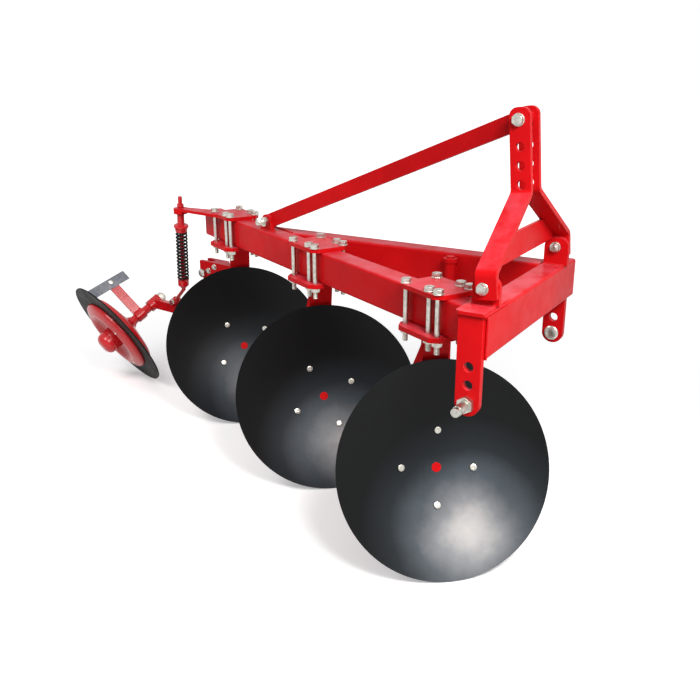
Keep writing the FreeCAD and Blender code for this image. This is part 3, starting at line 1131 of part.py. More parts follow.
# ---------------------------------------------------------------- tail arm
# the arm lies in the upright plane through its pivot and the axle socket
pivot = point(PIVOT)
arm_plan = pivot - point(SOCKET)
arm_plan.z = 0
arm_plan.normalize()
arm_side = Vector(arm_plan.y, -arm_plan.x, 0)
ARM_TURN = Rotation(arm_side, arm_plan, UP, "ZYX")

arm_body = new_body("arm_body")
arm_outline = new_sketch(arm_body, "arm_outline", "YZ_Plane")
deep = "Sizes.arm_deep / 2"
arm_end = "(Sizes.socket_radius * 0.5 - %s)" % ARM_RUN
add_loop(arm_outline, [(deep, "0"), ("-" + deep, "0"), ("-" + deep, "%s + %s" % (ARM_FALL, deep)),
                       (arm_end, "%s + %s" % (ARM_FALL, deep)), (arm_end, "%s - %s" % (ARM_FALL, deep)),
                       (deep, "%s - %s" % (ARM_FALL, deep))])
pad(arm_body, arm_outline, "Sizes.arm_thick", middle=True)
round_corners(arm_body, RIGHT, [Vector(0, size(deep), size(ARM_FALL + " - " + deep))],
              "Sizes.arm_bend + Sizes.arm_deep")
round_corners(arm_body, RIGHT, [Vector(0, -size(deep), size(ARM_FALL + " + " + deep))], "Sizes.arm_bend")
eye = new_sketch(arm_body, "arm_eye", "YZ_Plane")
add_circle(eye, "0", "0", "Sizes.arm_eye")
pad(arm_body, eye, "Sizes.arm_thick", middle=True)
ear = new_sketch(arm_body, "arm_ear", "YZ_Plane")
ear_low = "(%s + Sizes.arm_deep / 4)" % ARM_FALL
ear_high = "(%s + Sizes.ear_above)" % ARM_FALL
add_loop(ear, [("-Sizes.ear_behind - Sizes.ear_radius * 1.4", ear_low),
               ("-Sizes.ear_behind + Sizes.ear_radius * 1.4", ear_low),
               ("-Sizes.ear_behind + Sizes.ear_radius", ear_high),
               ("-Sizes.ear_behind + Sizes.ear_radius", ear_high + " + Sizes.ear_radius"),
               ("-Sizes.ear_behind - Sizes.ear_radius", ear_high + " + Sizes.ear_radius"),
               ("-Sizes.ear_behind - Sizes.ear_radius", ear_high)])
pad(arm_body, ear, "Sizes.arm_thick / 2", middle=True)
ear_tops = [Vector(0, size("-Sizes.ear_behind + %d * Sizes.ear_radius" % edge),
                   size(ear_high + " + Sizes.ear_radius")) for edge in (-1, 1)]
round_corners(arm_body, RIGHT, ear_tops, "Sizes.ear_radius * 0.9")
arm_holes = new_sketch(arm_body, "arm_holes", "YZ_Plane")
add_circle(arm_holes, "0", "0", "Sizes.pivot_bolt + Sizes.hole_gap")
add_circle(arm_holes, "-Sizes.ear_behind", ear_high, "Sizes.link_pin + Sizes.hole_gap")
cut(arm_body, arm_holes)
arm_body.Placement = Placement(pivot, ARM_TURN)
socket_end = point(SOCKET) + AXLE_LINE * size("Sizes.socket_long / 2")
socket = bar("arm_socket", "Sizes.socket_radius", "Sizes.socket_long", socket_end, -AXLE_LINE)
socket_bore = bar("arm_socket_bore", "Sizes.axle_radius + Sizes.running_gap", "Sizes.socket_long * 3",
                  socket_end + AXLE_LINE * size("Sizes.socket_long"), -AXLE_LINE)
keep(take("tail_arm", fuse("arm_welded", [arm_body, socket]), socket_bore), "tail_arm")

# bracket: two cheeks on the right side of the last leg, with the arm's eye between them
bracket = new_body("bracket")
bracket_plan = new_sketch(bracket, "bracket_plan", "XY_Plane")
cheek_out = "(Sizes.arm_thick / 2 + Sizes.cheek_gap + Sizes.cheek_thick)"
cheek_in = "(Sizes.arm_thick / 2 + Sizes.cheek_gap)"
add_loop(bracket_plan, [("-" + cheek_out, "-Sizes.bracket_rear"), ("-" + cheek_in, "-Sizes.bracket_rear"),
                        ("-" + cheek_in, "Sizes.bracket_slot"), (cheek_in, "Sizes.bracket_slot"),
                        (cheek_in, "-Sizes.bracket_rear"), (cheek_out, "-Sizes.bracket_rear"),
                        (cheek_out, "Sizes.pivot_behind"), ("-" + cheek_out, "Sizes.pivot_behind")])
pad(bracket, bracket_plan, "Sizes.bracket_up + Sizes.bracket_down")
bracket_hole = new_sketch(bracket, "bracket_hole", "YZ_Plane")
add_circle(bracket_hole, "0", "Sizes.bracket_down", "Sizes.pivot_bolt + Sizes.hole_gap")
cut(bracket, bracket_hole)
bracket_low = pivot - UP * size("Sizes.bracket_down")
bracket.Placement = Placement(bracket_low, ARM_TURN)
last_middle = point(LAST_DISC)
reach = "Sizes.pivot_behind * 3"
beyond = Vector(size("Sizes.leg_wide / 2 - " + reach), size("-" + reach + " / 2"), -size("Sizes.bracket_up"))
away_at = LEG_TURN.multVec(beyond) + Vector(last_middle.x, last_middle.y, bracket_low.z)
away = block("bracket_away", (reach, reach, "Sizes.bracket_up * 4"), away_at, LEG_TURN)
keep(take("tail_bracket", bracket, away), "tail_bracket")

pivot_grip = "(Sizes.arm_thick + 2 * Sizes.cheek_gap + 2 * Sizes.cheek_thick)"
keep(hex_bolt("tail_pivot_bolt", "Sizes.pivot_bolt", pivot_grip,
              pivot + arm_side * size(pivot_grip + " / 2"), -arm_side, "6"), "tail_pivot_bolt")

# ---------------------------------------------------------------- spring rod and spring
EAR = ("(%s - Sizes.ear_behind * (%s - %s) / %s)" % (PIVOT[0], PIVOT[0], SOCKET[0], ARM_RUN),
       "(%s - Sizes.ear_behind * (%s - %s) / %s)" % (PIVOT[1], PIVOT[1], SOCKET[1], ARM_RUN),
       "(%s + Sizes.ear_above)" % SOCKET[2])
NECK = ("(%s + Sizes.neck_right)" % EAR[0], "(%s + Sizes.neck_ahead)" % EAR[1],
        "(%s + Sizes.neck_above)" % EAR[2])
neck = point(NECK)
guide = point(GUIDE)
rod_up = guide - neck
rod_up.normalize()
ROD_LONG = between(GUIDE, NECK)

# rod: slides through the guide, with its eye beside the arm's ear
shank = bar("rod_shank", "Sizes.rod_radius", ROD_LONG + " + Sizes.rod_top", neck, rod_up)
eye_thick = "Sizes.rod_radius * 2"
ear_face = "(Sizes.arm_thick / 4 + Sizes.running_gap)"
eye_middle = point(EAR) + arm_side * size(ear_face + " + Sizes.rod_radius")
elbow = doc.addObject("Part::Sphere", "rod_elbow")
elbow.setExpression("Radius", "Sizes.rod_radius")
elbow.Placement = Placement(neck, Rotation())
eye_rim = neck - eye_middle
eye_rim = eye_rim - arm_side * eye_rim.dot(arm_side)
eye_rim.normalize()
slant = eye_middle + eye_rim * size("Sizes.rod_eye + Sizes.rod_radius / 2") - neck
slant_bar = bar("rod_slant", "Sizes.rod_radius * 0.9", "%f" % slant.Length, neck, slant)
rod_eye = bar("rod_eye", "Sizes.rod_eye", eye_thick,
              eye_middle - arm_side * size("Sizes.rod_radius"), arm_side)
rod_nut = hexagon("rod_nut", "Sizes.rod_nut", "Sizes.rod_radius * 1.6",
                  guide + rod_up * size("Sizes.guide_high / 2 + Sizes.rod_seat"), rod_up)
eye_hole = bar("rod_eye_hole", "Sizes.link_pin + Sizes.hole_gap", eye_thick + " * 3",
               eye_middle - arm_side * size(eye_thick + " * 1.5"), arm_side)
rod_solid = fuse("rod_welded", [shank, elbow, slant_bar, rod_eye, rod_nut])
keep(take("spring_rod", rod_solid, eye_hole), "spring_rod")
ear_grip = "(Sizes.arm_thick / 2 + Sizes.running_gap + %s)" % eye_thick
pin_at = eye_middle + arm_side * size("Sizes.rod_radius")
keep(hex_bolt("spring_rod_pin", "Sizes.link_pin", ear_grip, pin_at, -arm_side, "4"), "spring_rod_pin")

# sleeve with the spring's upper cup, below the guide
ROD_BORE = "(Sizes.rod_radius + Sizes.running_gap)"
SLEEVE_AT = "(Sizes.guide_high / 2 + Sizes.rod_seat)"
sleeve_at = guide - rod_up * size(SLEEVE_AT)
cup_at = sleeve_at - rod_up * size("Sizes.rod_sleeve_long")
long_sleeve = bar("rod_sleeve_tube", "Sizes.rod_sleeve", "Sizes.rod_sleeve_long", sleeve_at, -rod_up)
upper_cup = bar("upper_cup_ring", "Sizes.upper_cup", "Sizes.upper_cup_high", cup_at, -rod_up)
rod_bore = bar("upper_cup_bore", ROD_BORE, ROD_LONG, guide, -rod_up)
keep(take("spring_upper_cup", fuse("upper_cup_solid", [long_sleeve, upper_cup]), rod_bore),
     "spring_upper_cup")

# lower cup, tapering to the rod
taper_at = neck + rod_up * size("Sizes.rod_radius")
low_at = taper_at + rod_up * size("Sizes.cup_taper")
lower_cup = bar("lower_cup_ring", "Sizes.lower_cup", "Sizes.lower_cup_high", low_at, rod_up)
taper = doc.addObject("Part::Cone", "cup_taper_cone")
taper.setExpression("Radius1", "Sizes.rod_radius * 1.3")
taper.setExpression("Radius2", "Sizes.lower_cup")
taper.setExpression("Height", "Sizes.cup_taper")
taper.Placement = Placement(taper_at, Rotation(UP, rod_up))
low_bore = bar("lower_cup_bore", ROD_BORE, ROD_LONG, neck - rod_up * size("Sizes.cup_taper"), rod_up)
keep(take("spring_lower_cup", fuse("lower_cup_solid", [lower_cup, taper]), low_bore), "spring_lower_cup")

# coil spring between the cups
CUPS = ("(%s + Sizes.rod_sleeve_long + Sizes.upper_cup_high + Sizes.lower_cup_high + Sizes.cup_taper"
        " + Sizes.rod_radius)" % SLEEVE_AT)
SPRING_LONG = "(%s - %s - 2 * Sizes.spring_wire - 2 * Sizes.running_gap)" % (ROD_LONG, CUPS)
coil = doc.addObject("Part::Helix", "spring_line")
coil.setExpression("Height", SPRING_LONG)
coil.setExpression("Pitch", SPRING_LONG + " / Sizes.spring_turns")
coil.setExpression("Radius", "Sizes.spring_radius")
wire = doc.addObject("Part::Circle", "spring_wire_circle")
wire.setExpression("Radius", "Sizes.spring_wire")
wire.Placement = Placement(Vector(size("Sizes.spring_radius"), 0, 0), Rotation(RIGHT, 90))
spring = doc.addObject("Part::Sweep", "tail_spring")
spring.Sections = [wire]
spring.Spine = (coil, ["Edge1"])
spring.Solid = True
spring.Frenet = True
doc.recompute()
spring_at = low_at + rod_up * size("Sizes.lower_cup_high + Sizes.spring_wire + Sizes.running_gap")
keep(spring, "tail_spring", spring_at, Rotation(UP, rod_up))

# ---------------------------------------------------------------- scraper
# ring on the axle with a bar out to the blade, which lies across the back of the wheel
round_wheel = Rotation(UP, 180 + size("Sizes.scraper_turn"))
bar_line = WHEEL_TURN.multiply(round_wheel).multVec(RIGHT)
ring_at = wheel_middle - AXLE_LINE * size("Sizes.scraper_at + Sizes.scraper_bar")
ring = bar("scraper_ring_tube", "Sizes.scraper_ring", "Sizes.scraper_bar", ring_at, AXLE_LINE)
strap_sides = ("Sizes.scraper_reach + Sizes.scraper_end", "Sizes.scraper_bar_thick", "Sizes.scraper_bar")
strap_low = Vector(0, size("-Sizes.scraper_bar_thick / 2"), 0)
strap_turn = WHEEL_TURN.multiply(round_wheel)
strap = block("scraper_strap", strap_sides, ring_at + strap_turn.multVec(strap_low), strap_turn)
ring_bore = bar("scraper_ring_bore", "Sizes.axle_radius + Sizes.running_gap", "Sizes.scraper_bar * 3",
                ring_at - AXLE_LINE * size("Sizes.scraper_bar"), AXLE_LINE)
bolt_line_at = ring_at + bar_line * size("Sizes.scraper_reach") + AXLE_LINE * size("Sizes.scraper_bar / 2")
blade_side = strap_turn.multVec(-AHEAD)
bolt_bore = bar("scraper_bolt_hole", "Sizes.scraper_bolt + Sizes.hole_gap", "Sizes.scraper_bar * 2",
                bolt_line_at - blade_side * size("Sizes.scraper_bar"), blade_side)
scraper_bores = gather("scraper_bores", [ring_bore, bolt_bore])
keep(take("scraper_bar", fuse("scraper_welded", [ring, strap]), scraper_bores), "scraper_bar")

# blade: lies flat on the bar, slanting toward the axle away from the wheel
blade_body = new_body("blade_body")
blade_outline = new_sketch(blade_body, "blade_outline", "XZ_Plane")
near = "-Sizes.blade_gap - Sizes.wheel_thick / 2"
far = near + " - Sizes.blade_long"
blade_half = "Sizes.blade_wide / 2"
add_loop(blade_outline, [("Sizes.blade_near - " + blade_half, near),
                         ("Sizes.blade_near + " + blade_half, near),
                         ("Sizes.blade_near - Sizes.blade_skew + " + blade_half, far),
                         ("Sizes.blade_near - Sizes.blade_skew - " + blade_half, far)])
pad(blade_body, blade_outline, "Sizes.blade_thick", middle=True)
on_strap = "(Sizes.scraper_bar_thick + Sizes.blade_thick) / 2 + Sizes.running_gap"
blade_body.Placement = Placement(wheel_middle + blade_side * size(on_strap), strap_turn)
keep(take("scraper_blade", blade_body, bolt_bore), "scraper_blade")

# bolt: round head on the blade, nut behind the bar
blade_face = "(Sizes.scraper_bar_thick / 2 + Sizes.running_gap + Sizes.blade_thick)"
head_at = bolt_line_at + blade_side * size(blade_face)
scraper_grip = "(Sizes.scraper_bar_thick + Sizes.running_gap + Sizes.blade_thick)"
bolt_shank = bar("scraper_shank", "Sizes.scraper_bolt", scraper_grip + " + Sizes.scraper_nut * 1.4",
                 head_at, -blade_side)
bolt_head = bar("scraper_round_head", "Sizes.scraper_head", "Sizes.scraper_head / 2", head_at, blade_side)
bolt_nut = hexagon("scraper_nut", "Sizes.scraper_head", "Sizes.scraper_nut",
                   head_at - blade_side * size(scraper_grip), -blade_side)
keep(fuse("scraper_bolt", [bolt_shank, bolt_head, bolt_nut]), "scraper_bolt")

# ---------------------------------------------------------------- origin, checks and export
doc.recompute()
whole = FreeCAD.BoundBox()
for item in parts:
    whole.add(item.Shape.BoundBox)
shift = Placement(Vector(-whole.Center.x, -whole.Center.y, -whole.ZMin), Rotation())
for item in parts:
    item.Placement = shift.multiply(item.Placement)
doc.recompute()

for item in doc.Objects:
    if "Invalid" in item.State or "Error" in item.State:
        raise RuntimeError("%s failed: %s" % (item.Label, item.State))
for item in parts:
    if item.Shape.isNull() or not item.Shape.isValid() or not item.Shape.Solids:
        raise RuntimeError("%s has no valid shape" % item.Label)

os.makedirs("parts", exist_ok=True)
for item in parts:
    item.Shape.exportStep(os.path.join("parts", item.Label + ".step"))
print(len(parts), "sub-parts", whole.XLength, whole.YLength, whole.ZLength)
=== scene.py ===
import json
import math
import bpy
import numpy as np
from mathutils import Matrix, Vector


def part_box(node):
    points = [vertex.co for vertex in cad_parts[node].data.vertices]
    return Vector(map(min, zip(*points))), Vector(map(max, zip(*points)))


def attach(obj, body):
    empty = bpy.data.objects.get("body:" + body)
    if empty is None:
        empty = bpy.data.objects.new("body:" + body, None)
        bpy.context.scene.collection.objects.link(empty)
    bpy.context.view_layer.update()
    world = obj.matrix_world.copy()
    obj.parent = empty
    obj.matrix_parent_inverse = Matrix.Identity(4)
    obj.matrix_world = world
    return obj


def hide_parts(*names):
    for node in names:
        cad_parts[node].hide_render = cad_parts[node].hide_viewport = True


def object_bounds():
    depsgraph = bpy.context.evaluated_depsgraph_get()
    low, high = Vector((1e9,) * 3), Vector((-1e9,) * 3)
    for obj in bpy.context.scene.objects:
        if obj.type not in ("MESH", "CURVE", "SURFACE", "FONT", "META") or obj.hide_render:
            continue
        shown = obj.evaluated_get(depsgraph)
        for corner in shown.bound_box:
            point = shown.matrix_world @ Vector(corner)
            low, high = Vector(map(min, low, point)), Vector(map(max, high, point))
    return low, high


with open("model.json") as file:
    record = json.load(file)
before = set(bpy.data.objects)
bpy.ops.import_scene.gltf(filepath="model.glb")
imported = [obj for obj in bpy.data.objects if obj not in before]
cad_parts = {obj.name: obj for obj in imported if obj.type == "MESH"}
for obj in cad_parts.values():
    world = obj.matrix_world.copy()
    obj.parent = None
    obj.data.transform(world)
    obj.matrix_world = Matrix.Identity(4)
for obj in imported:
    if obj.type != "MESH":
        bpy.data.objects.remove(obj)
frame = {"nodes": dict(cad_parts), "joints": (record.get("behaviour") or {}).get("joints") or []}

cad_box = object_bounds()
nodes = frame["nodes"]
joints = {joint["name"]: joint for joint in frame["joints"]}


# ---------------------------------------------------------------- camera
# The plough is seen from its front right quarter and a little above, through a
# normal lens at about 2.6 metres from the front disc.
front_disc = Vector(joints["disc_1_spin"]["pos_m"])
camera_reach = Vector((2.1161, 0.9387, 1.1769))
camera_look = Vector((-0.8103, -0.4852, -0.3288))
camera_data = bpy.data.cameras.new("camera")
camera_data.lens = 44.32
camera_data.sensor_width = 36.0
camera_data.dof.use_dof = False
camera = bpy.data.objects.new("camera", camera_data)
bpy.context.scene.collection.objects.link(camera)
camera.location = front_disc + camera_reach
camera.rotation_euler = camera_look.to_track_quat("-Z", "Y").to_euler()
bpy.context.scene.camera = camera
bpy.context.scene.view_settings.view_transform = "Standard"


# ---------------------------------------------------------------- floor
# A pale studio floor, swept up into white at a distance, with the soft shadow of
# the plough on it.
floor_gap = 0.0005
floor_fade = {"From Min": 0.9, "From Max": 4.5, "To Min": 0.30, "To Max": 0.95}


def nodes_of(material):
    """Empty node tree of a material."""
    material.use_nodes = True
    tree = material.node_tree
    tree.nodes.clear()
    return tree


def add(tree, kind, **values):
    """New node, with its settings and its inputs' values given by name."""
    made = tree.nodes.new(kind)
    for name, value in values.items():
        socket = name.replace("_", " ")
        if hasattr(made, name) and socket not in made.inputs:
            setattr(made, name, value)
        else:
            made.inputs[socket].default_value = value
    return made


def seen_rays(tree):
    """1 for camera, glossy and transmission rays, 0 for the light that falls on things."""
    rays = add(tree, "ShaderNodeLightPath")
    first = add(tree, "ShaderNodeMath", operation="MAXIMUM")
    second = add(tree, "ShaderNodeMath", operation="MAXIMUM")
    tree.links.new(rays.outputs["Is Camera Ray"], first.inputs[0])
    tree.links.new(rays.outputs["Is Transmission Ray"], first.inputs[1])
    tree.links.new(first.outputs[0], second.inputs[0])
    tree.links.new(rays.outputs["Is Glossy Ray"], second.inputs[1])
    return second.outputs[0]


floor_material = bpy.data.materials.new("studio_floor")
tree = nodes_of(floor_material)
soft = add(tree, "ShaderNodeBsdfDiffuse", Color=(0.86, 0.86, 0.86, 1))
glow = add(tree, "ShaderNodeEmission", Color=(1, 1, 1, 1))
ground = add(tree, "ShaderNodeTexCoord")
far = add(tree, "ShaderNodeVectorMath", operation="LENGTH")
fade = add(tree, "ShaderNodeMapRange", interpolation_type="SMOOTHSTEP")
for socket, value in floor_fade.items():
    fade.inputs[socket].default_value = value
tree.links.new(ground.outputs["Object"], far.inputs[0])
tree.links.new(far.outputs["Value"], fade.inputs["Value"])
tree.links.new(fade.outputs[0], glow.inputs["Strength"])
both = add(tree, "ShaderNodeAddShader")
pick = add(tree, "ShaderNodeMixShader")
shown = add(tree, "ShaderNodeOutputMaterial")
tree.links.new(soft.outputs[0], both.inputs[0])
tree.links.new(glow.outputs[0], both.inputs[1])
tree.links.new(seen_rays(tree), pick.inputs[0])
tree.links.new(soft.outputs[0], pick.inputs[1])
tree.links.new(both.outputs[0], pick.inputs[2])
tree.links.new(pick.outputs[0], shown.inputs["Surface"])
bpy.ops.mesh.primitive_plane_add(size=60, location=(0, 0, cad_box[0][2] - floor_gap))
floor = bpy.context.object
floor.name = "studio_floor"
floor.data.materials.append(floor_material)


# ---------------------------------------------------------------- room and lamps
# A white room, one large soft lamp at the front right, one beside it that lights
# the hollow faces of the discs, and one at the rear for the furrow wheel.
world = bpy.data.worlds.new("studio")
world.use_nodes = True
bpy.context.scene.world = world
room = world.node_tree
room.nodes.clear()
white = add(room, "ShaderNodeBackground", Color=(1, 1, 1, 1), Strength=1.0)
dim = add(room, "ShaderNodeBackground", Color=(0.95, 0.97, 1.0, 1), Strength=0.45)
choose = add(room, "ShaderNodeMixShader")
room_out = add(room, "ShaderNodeOutputWorld")
room.links.new(seen_rays(room), choose.inputs[0])
room.links.new(dim.outputs[0], choose.inputs[1])
room.links.new(white.outputs[0], choose.inputs[2])
room.links.new(choose.outputs[0], room_out.inputs["Surface"])

middle = (Vector(cad_box[0]) + Vector(cad_box[1])) / 2
wheel_middle = Vector(joints["furrow_wheel_spin"]["pos_m"])


def lamp(name, place, aim, width, height, watts, colour, angle=180):
    """Rectangular lamp at one place that faces another."""
    data = bpy.data.lights.new(name, "AREA")
    data.shape = "RECTANGLE"
    data.size = width
    data.size_y = height
    data.energy = watts
    data.color = colour
    data.spread = math.radians(angle)
    made = bpy.data.objects.new(name, data)
    bpy.context.scene.collection.objects.link(made)
    made.location = place
    made.rotation_euler = (aim - place).to_track_quat("-Z", "Y").to_euler()


lamp("lamp_front", middle + Vector((3.2, 3.2, 2.4)), middle,
     width=2.6, height=2.2, watts=20, colour=(1.0, 0.97, 0.93))
lamp("lamp_discs", front_disc + Vector((1.05, 1.42, 2.12)),
     front_disc + Vector((-0.2, -0.4, -0.1)),
     width=1.2, height=0.9, watts=20, colour=(1.0, 0.985, 0.97), angle=70)
lamp("lamp_rear", wheel_middle + Vector((1.6, 0.2, 1.9)), wheel_middle + Vector((0.1, 0.1, 0)),
     width=1.0, height=0.8, watts=13, colour=(1.0, 0.97, 0.95), angle=110)


# ---------------------------------------------------------------- red frame
# The beams, brackets, mast and arms are mild steel, cut, drilled and welded up,
# then sprayed with one coat of bright red enamel that thins at the edges.
# Pink painted onto upward faces as a painted sheen, in place of the white room's reflection on
# the tops of the red enamel.
top_sheen_colour = (0.80, 0.29, 0.40)


def edge_mask(tree, radius):
    """Softened normal, and how far the surface turns: 0 on a flat, 1 on a sharp edge."""
    rounded = add(tree, "ShaderNodeBevel", samples=6, Radius=radius)
    flat = add(tree, "ShaderNodeNewGeometry")
    match = add(tree, "ShaderNodeVectorMath", operation="DOT_PRODUCT")
    tree.links.new(rounded.outputs[0], match.inputs[0])
    tree.links.new(flat.outputs["Normal"], match.inputs[1])
    turned = spread(tree, match.outputs["Value"], 0.995, 0.80, 0, 1)
    return rounded.outputs[0], turned


def noise(tree, scale, detail=3.0, roughness=0.55, stretch=(1, 1, 1)):
    """Noise fixed to the object, between 0 and 1."""
    where = add(tree, "ShaderNodeTexCoord")
    mapped = add(tree, "ShaderNodeMapping")
    mapped.inputs["Scale"].default_value = stretch
    made = add(tree, "ShaderNodeTexNoise", Scale=scale, Detail=detail, Roughness=roughness)
    tree.links.new(where.outputs["Object"], mapped.inputs["Vector"])
    tree.links.new(mapped.outputs["Vector"], made.inputs["Vector"])
    return made.outputs["Fac"]


def spread(tree, source, low, high, to_low, to_high):
    """Map one range of values to another."""
    made = add(tree, "ShaderNodeMapRange")
    made.inputs["From Min"].default_value = low
    made.inputs["From Max"].default_value = high
    made.inputs["To Min"].default_value = to_low
    made.inputs["To Max"].default_value = to_high
    tree.links.new(source, made.inputs["Value"])
    return made.outputs[0]


def mixed(tree, factor, first, second):
    """Blend two colours, each a value or another node's output."""
    made = add(tree, "ShaderNodeMix", data_type="RGBA")
    tree.links.new(factor, made.inputs["Factor"])
    for socket, value in ((6, first), (7, second)):
        if isinstance(value, tuple):
            made.inputs[socket].default_value = (*value, 1)
        else:
            tree.links.new(value, made.inputs[socket])
    return made.outputs[2]


def times(tree, first, second):
    made = add(tree, "ShaderNodeMath", operation="MULTIPLY")
    tree.links.new(first, made.inputs[0])
    tree.links.new(second, made.inputs[1])
    return made.outputs[0]


def bumped(tree, height, below, strength, distance):
    """Bump laid over the normal below it."""
    made = add(tree, "ShaderNodeBump", Strength=strength, Distance=distance)
    tree.links.new(below, made.inputs["Normal"])
    tree.links.new(height, made.inputs["Height"])
    return made.outputs[0]


def enamel(name, colour, thin_colour, roughness, edge=0.0022, top_sheen=0.21, gloss=1.13):
    """Sprayed enamel: slow colour drift, thin paint on edges, orange peel and a painted pink
    sheen on upward faces.
    """
    material = bpy.data.materials.new(name)
    tree = nodes_of(material)
    shader = add(tree, "ShaderNodeBsdfPrincipled", IOR=gloss)
    shown = add(tree, "ShaderNodeOutputMaterial")
    rounded, turned = edge_mask(tree, edge)
    drift = spread(tree, noise(tree, 4.0, 4.0), 0.35, 0.68, 0, 1)
    body = mixed(tree, drift, tuple(c * 0.80 for c in colour), colour)
    patchy = spread(tree, noise(tree, 60.0, 4.0), 0.42, 0.62, 0.05, 0.55)
    finish = mixed(tree, times(tree, turned, patchy), body, thin_colour)
    # Painted sheen: faces that point up are mixed towards pink in cloudy patches, in place of the
    # white room's reflection on the tops.
    facing = add(tree, "ShaderNodeNewGeometry")
    upward = add(tree, "ShaderNodeSeparateXYZ")
    tree.links.new(facing.outputs["Normal"], upward.inputs[0])
    sheen_facing = spread(tree, upward.outputs["Z"], 0.55, 1.0, 0, top_sheen)
    sheen_clouds = spread(tree, noise(tree, 14.0, 5.0, 0.62), 0.36, 0.70, 0.15, 1)
    with_sheen = mixed(tree, times(tree, sheen_facing, sheen_clouds), finish, top_sheen_colour)
    tree.links.new(with_sheen, shader.inputs["Base Color"])
    rough = spread(tree, noise(tree, 18.0, 3.0), 0.3, 0.7, roughness * 0.82, roughness * 1.2)
    tree.links.new(rough, shader.inputs["Roughness"])
    broad = bumped(tree, noise(tree, 26.0, 2.0), rounded, 0.12, 0.004)
    fine = bumped(tree, noise(tree, 420.0, 2.0), broad, 0.10, 0.0008)
    tree.links.new(fine, shader.inputs["Normal"])
    tree.links.new(shader.outputs[0], shown.inputs["Surface"])
    return material


def finish_node(name, material):
    """Give a piece of the frame its material."""
    node = nodes[name]
    node.data.materials.clear()
    node.data.materials.append(material)


red = enamel("red_enamel", (0.53, 0.005, 0.007), (0.66, 0.05, 0.045), 0.36)
for name in list(nodes):
    finish_node(name, red)


# ---------------------------------------------------------------- weld beads
# The frame is joined with short-arc fillet welds, whose ripples still show
# through the paint. A bead is a row of overlapping flattened drops.
bead_stop = 0.01
plate_bead_stop = 0.004


def only(piece):
    """Make a piece the one that is selected and active."""
    bpy.ops.object.select_all(action="DESELECT")
    piece.select_set(True)
    bpy.context.view_layer.objects.active = piece


def settle(piece, name, material, body):
    """Put a finished piece's place in its mesh and let it ride on its body."""
    only(piece)
    bpy.ops.object.transform_apply(location=True, rotation=True, scale=True)
    piece.name = name
    piece.data.name = name
    piece.data.materials.clear()
    piece.data.materials.append(material)
    bpy.ops.object.shade_smooth_by_angle(angle=math.radians(35))
    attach(piece, body)


def joined(pieces):
    """One piece from several."""
    only(pieces[0])
    for piece in pieces:
        piece.select_set(True)
    if len(pieces) > 1:
        bpy.ops.object.join()
    return bpy.context.object


def apply_all(piece):
    """Apply a piece's modifiers in their order."""
    only(piece)
    for modifier in list(piece.modifiers):
        bpy.ops.object.modifier_apply(modifier=modifier.name)


def weld_bead(start, end, radius):
    """Row of ripples from one place to another."""
    run = Vector(end) - Vector(start)
    pitch = radius * 0.8
    bpy.ops.mesh.primitive_uv_sphere_add(segments=8, ring_count=4, radius=radius,
                                         location=(0, 0, 0))
    bead = bpy.context.object
    bpy.ops.object.mode_set(mode="EDIT")
    bpy.ops.transform.resize(value=(0.62, 1, 1))
    bpy.ops.object.mode_set(mode="OBJECT")
    row = bead.modifiers.new("row", "ARRAY")
    row.use_relative_offset = False
    row.use_constant_offset = True
    row.constant_offset_displace = (pitch, 0, 0)
    row.count = max(2, int(run.length / pitch))
    apply_all(bead)
    turn = run.to_track_quat("X", "Z").to_matrix().to_4x4()
    bead.matrix_world = Matrix.Translation(start) @ turn
    bpy.ops.object.transform_apply(location=True, rotation=True, scale=True)
    return bead


def beads(name, lines, radius):
    """Painted weld beads of the frame along lines, as one piece."""
    row = joined([weld_bead(start, end, radius) for start, end in lines])
    settle(row, name, red, "frame")


def upright(x, y, low, high, stop):
    """Line up an edge that stops short of both its ends."""
    return (x, y, low + stop), (x, y, high - stop)


def open_box(left, rear, right, front, z):
    """Lines along the rear, right and left of a rectangle at one height."""
    return [((left, rear, z), (right, rear, z)), ((right, rear, z), (right, front, z)),
            ((left, front, z), (left, rear, z))]


cross_low, cross_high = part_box("cross_beam")
main_low, main_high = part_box("main_beam")
brace_low, brace_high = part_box("brace_beam")
row_line = Vector(joints["disc_3_spin"]["pos_m"]) - front_disc
row_line.z = 0
row_line.normalize()
row_side = Vector((-row_line.y, row_line.x, 0))
beam_offset = -0.013
beam_half = 0.040


def beside_beam(along, side, z):
    """Place along the main beam, at a distance to the side of its middle."""
    place = front_disc + row_line * along + row_side * (beam_offset + side)
    return Vector((place.x, place.y, z))


def meets_cross(side):
    """Distance along the main beam at which its side meets the cross beam's rear."""
    start = beside_beam(0, side, 0)
    return (cross_low[1] - start.y) / row_line.y


brace_rear = {}
for word, x in (("left", brace_low[0]), ("right", brace_high[0])):
    start = beside_beam(0, -beam_half, 0)
    along = (x - start.x) / row_line.x
    brace_rear[word] = beside_beam(along, -beam_half, 0)
top_z, low_z = main_high[2], main_low[2]
meets = [beside_beam(meets_cross(side * beam_half), side * beam_half, 0) for side in (-1, 1)]
meets += [Vector((x, cross_low[1], 0)) for x in (brace_low[0], brace_high[0])]
meets += [brace_rear["left"], brace_rear["right"]]
lines = [upright(at.x, at.y, low_z, top_z, bead_stop) for at in meets]
lines.append(((*brace_rear["left"].xy, top_z), (*brace_rear["right"].xy, top_z)))
beads("beam_welds", lines, 0.0045)

corner_low, corner_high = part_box("corner_plate")
end_x, rear_y, front_y = cross_high[0], cross_low[1], cross_high[1]
lines = [((corner_low[0] + plate_bead_stop, corner_high[1], top_z),
          (corner_high[0] - plate_bead_stop, corner_high[1], top_z)),
         ((end_x, rear_y, top_z), (end_x, front_y, top_z)),
         upright(end_x, rear_y, cross_low[2], top_z, plate_bead_stop),
         upright(end_x, front_y, cross_low[2], top_z, plate_bead_stop)]
beads("corner_welds", lines, 0.0035)

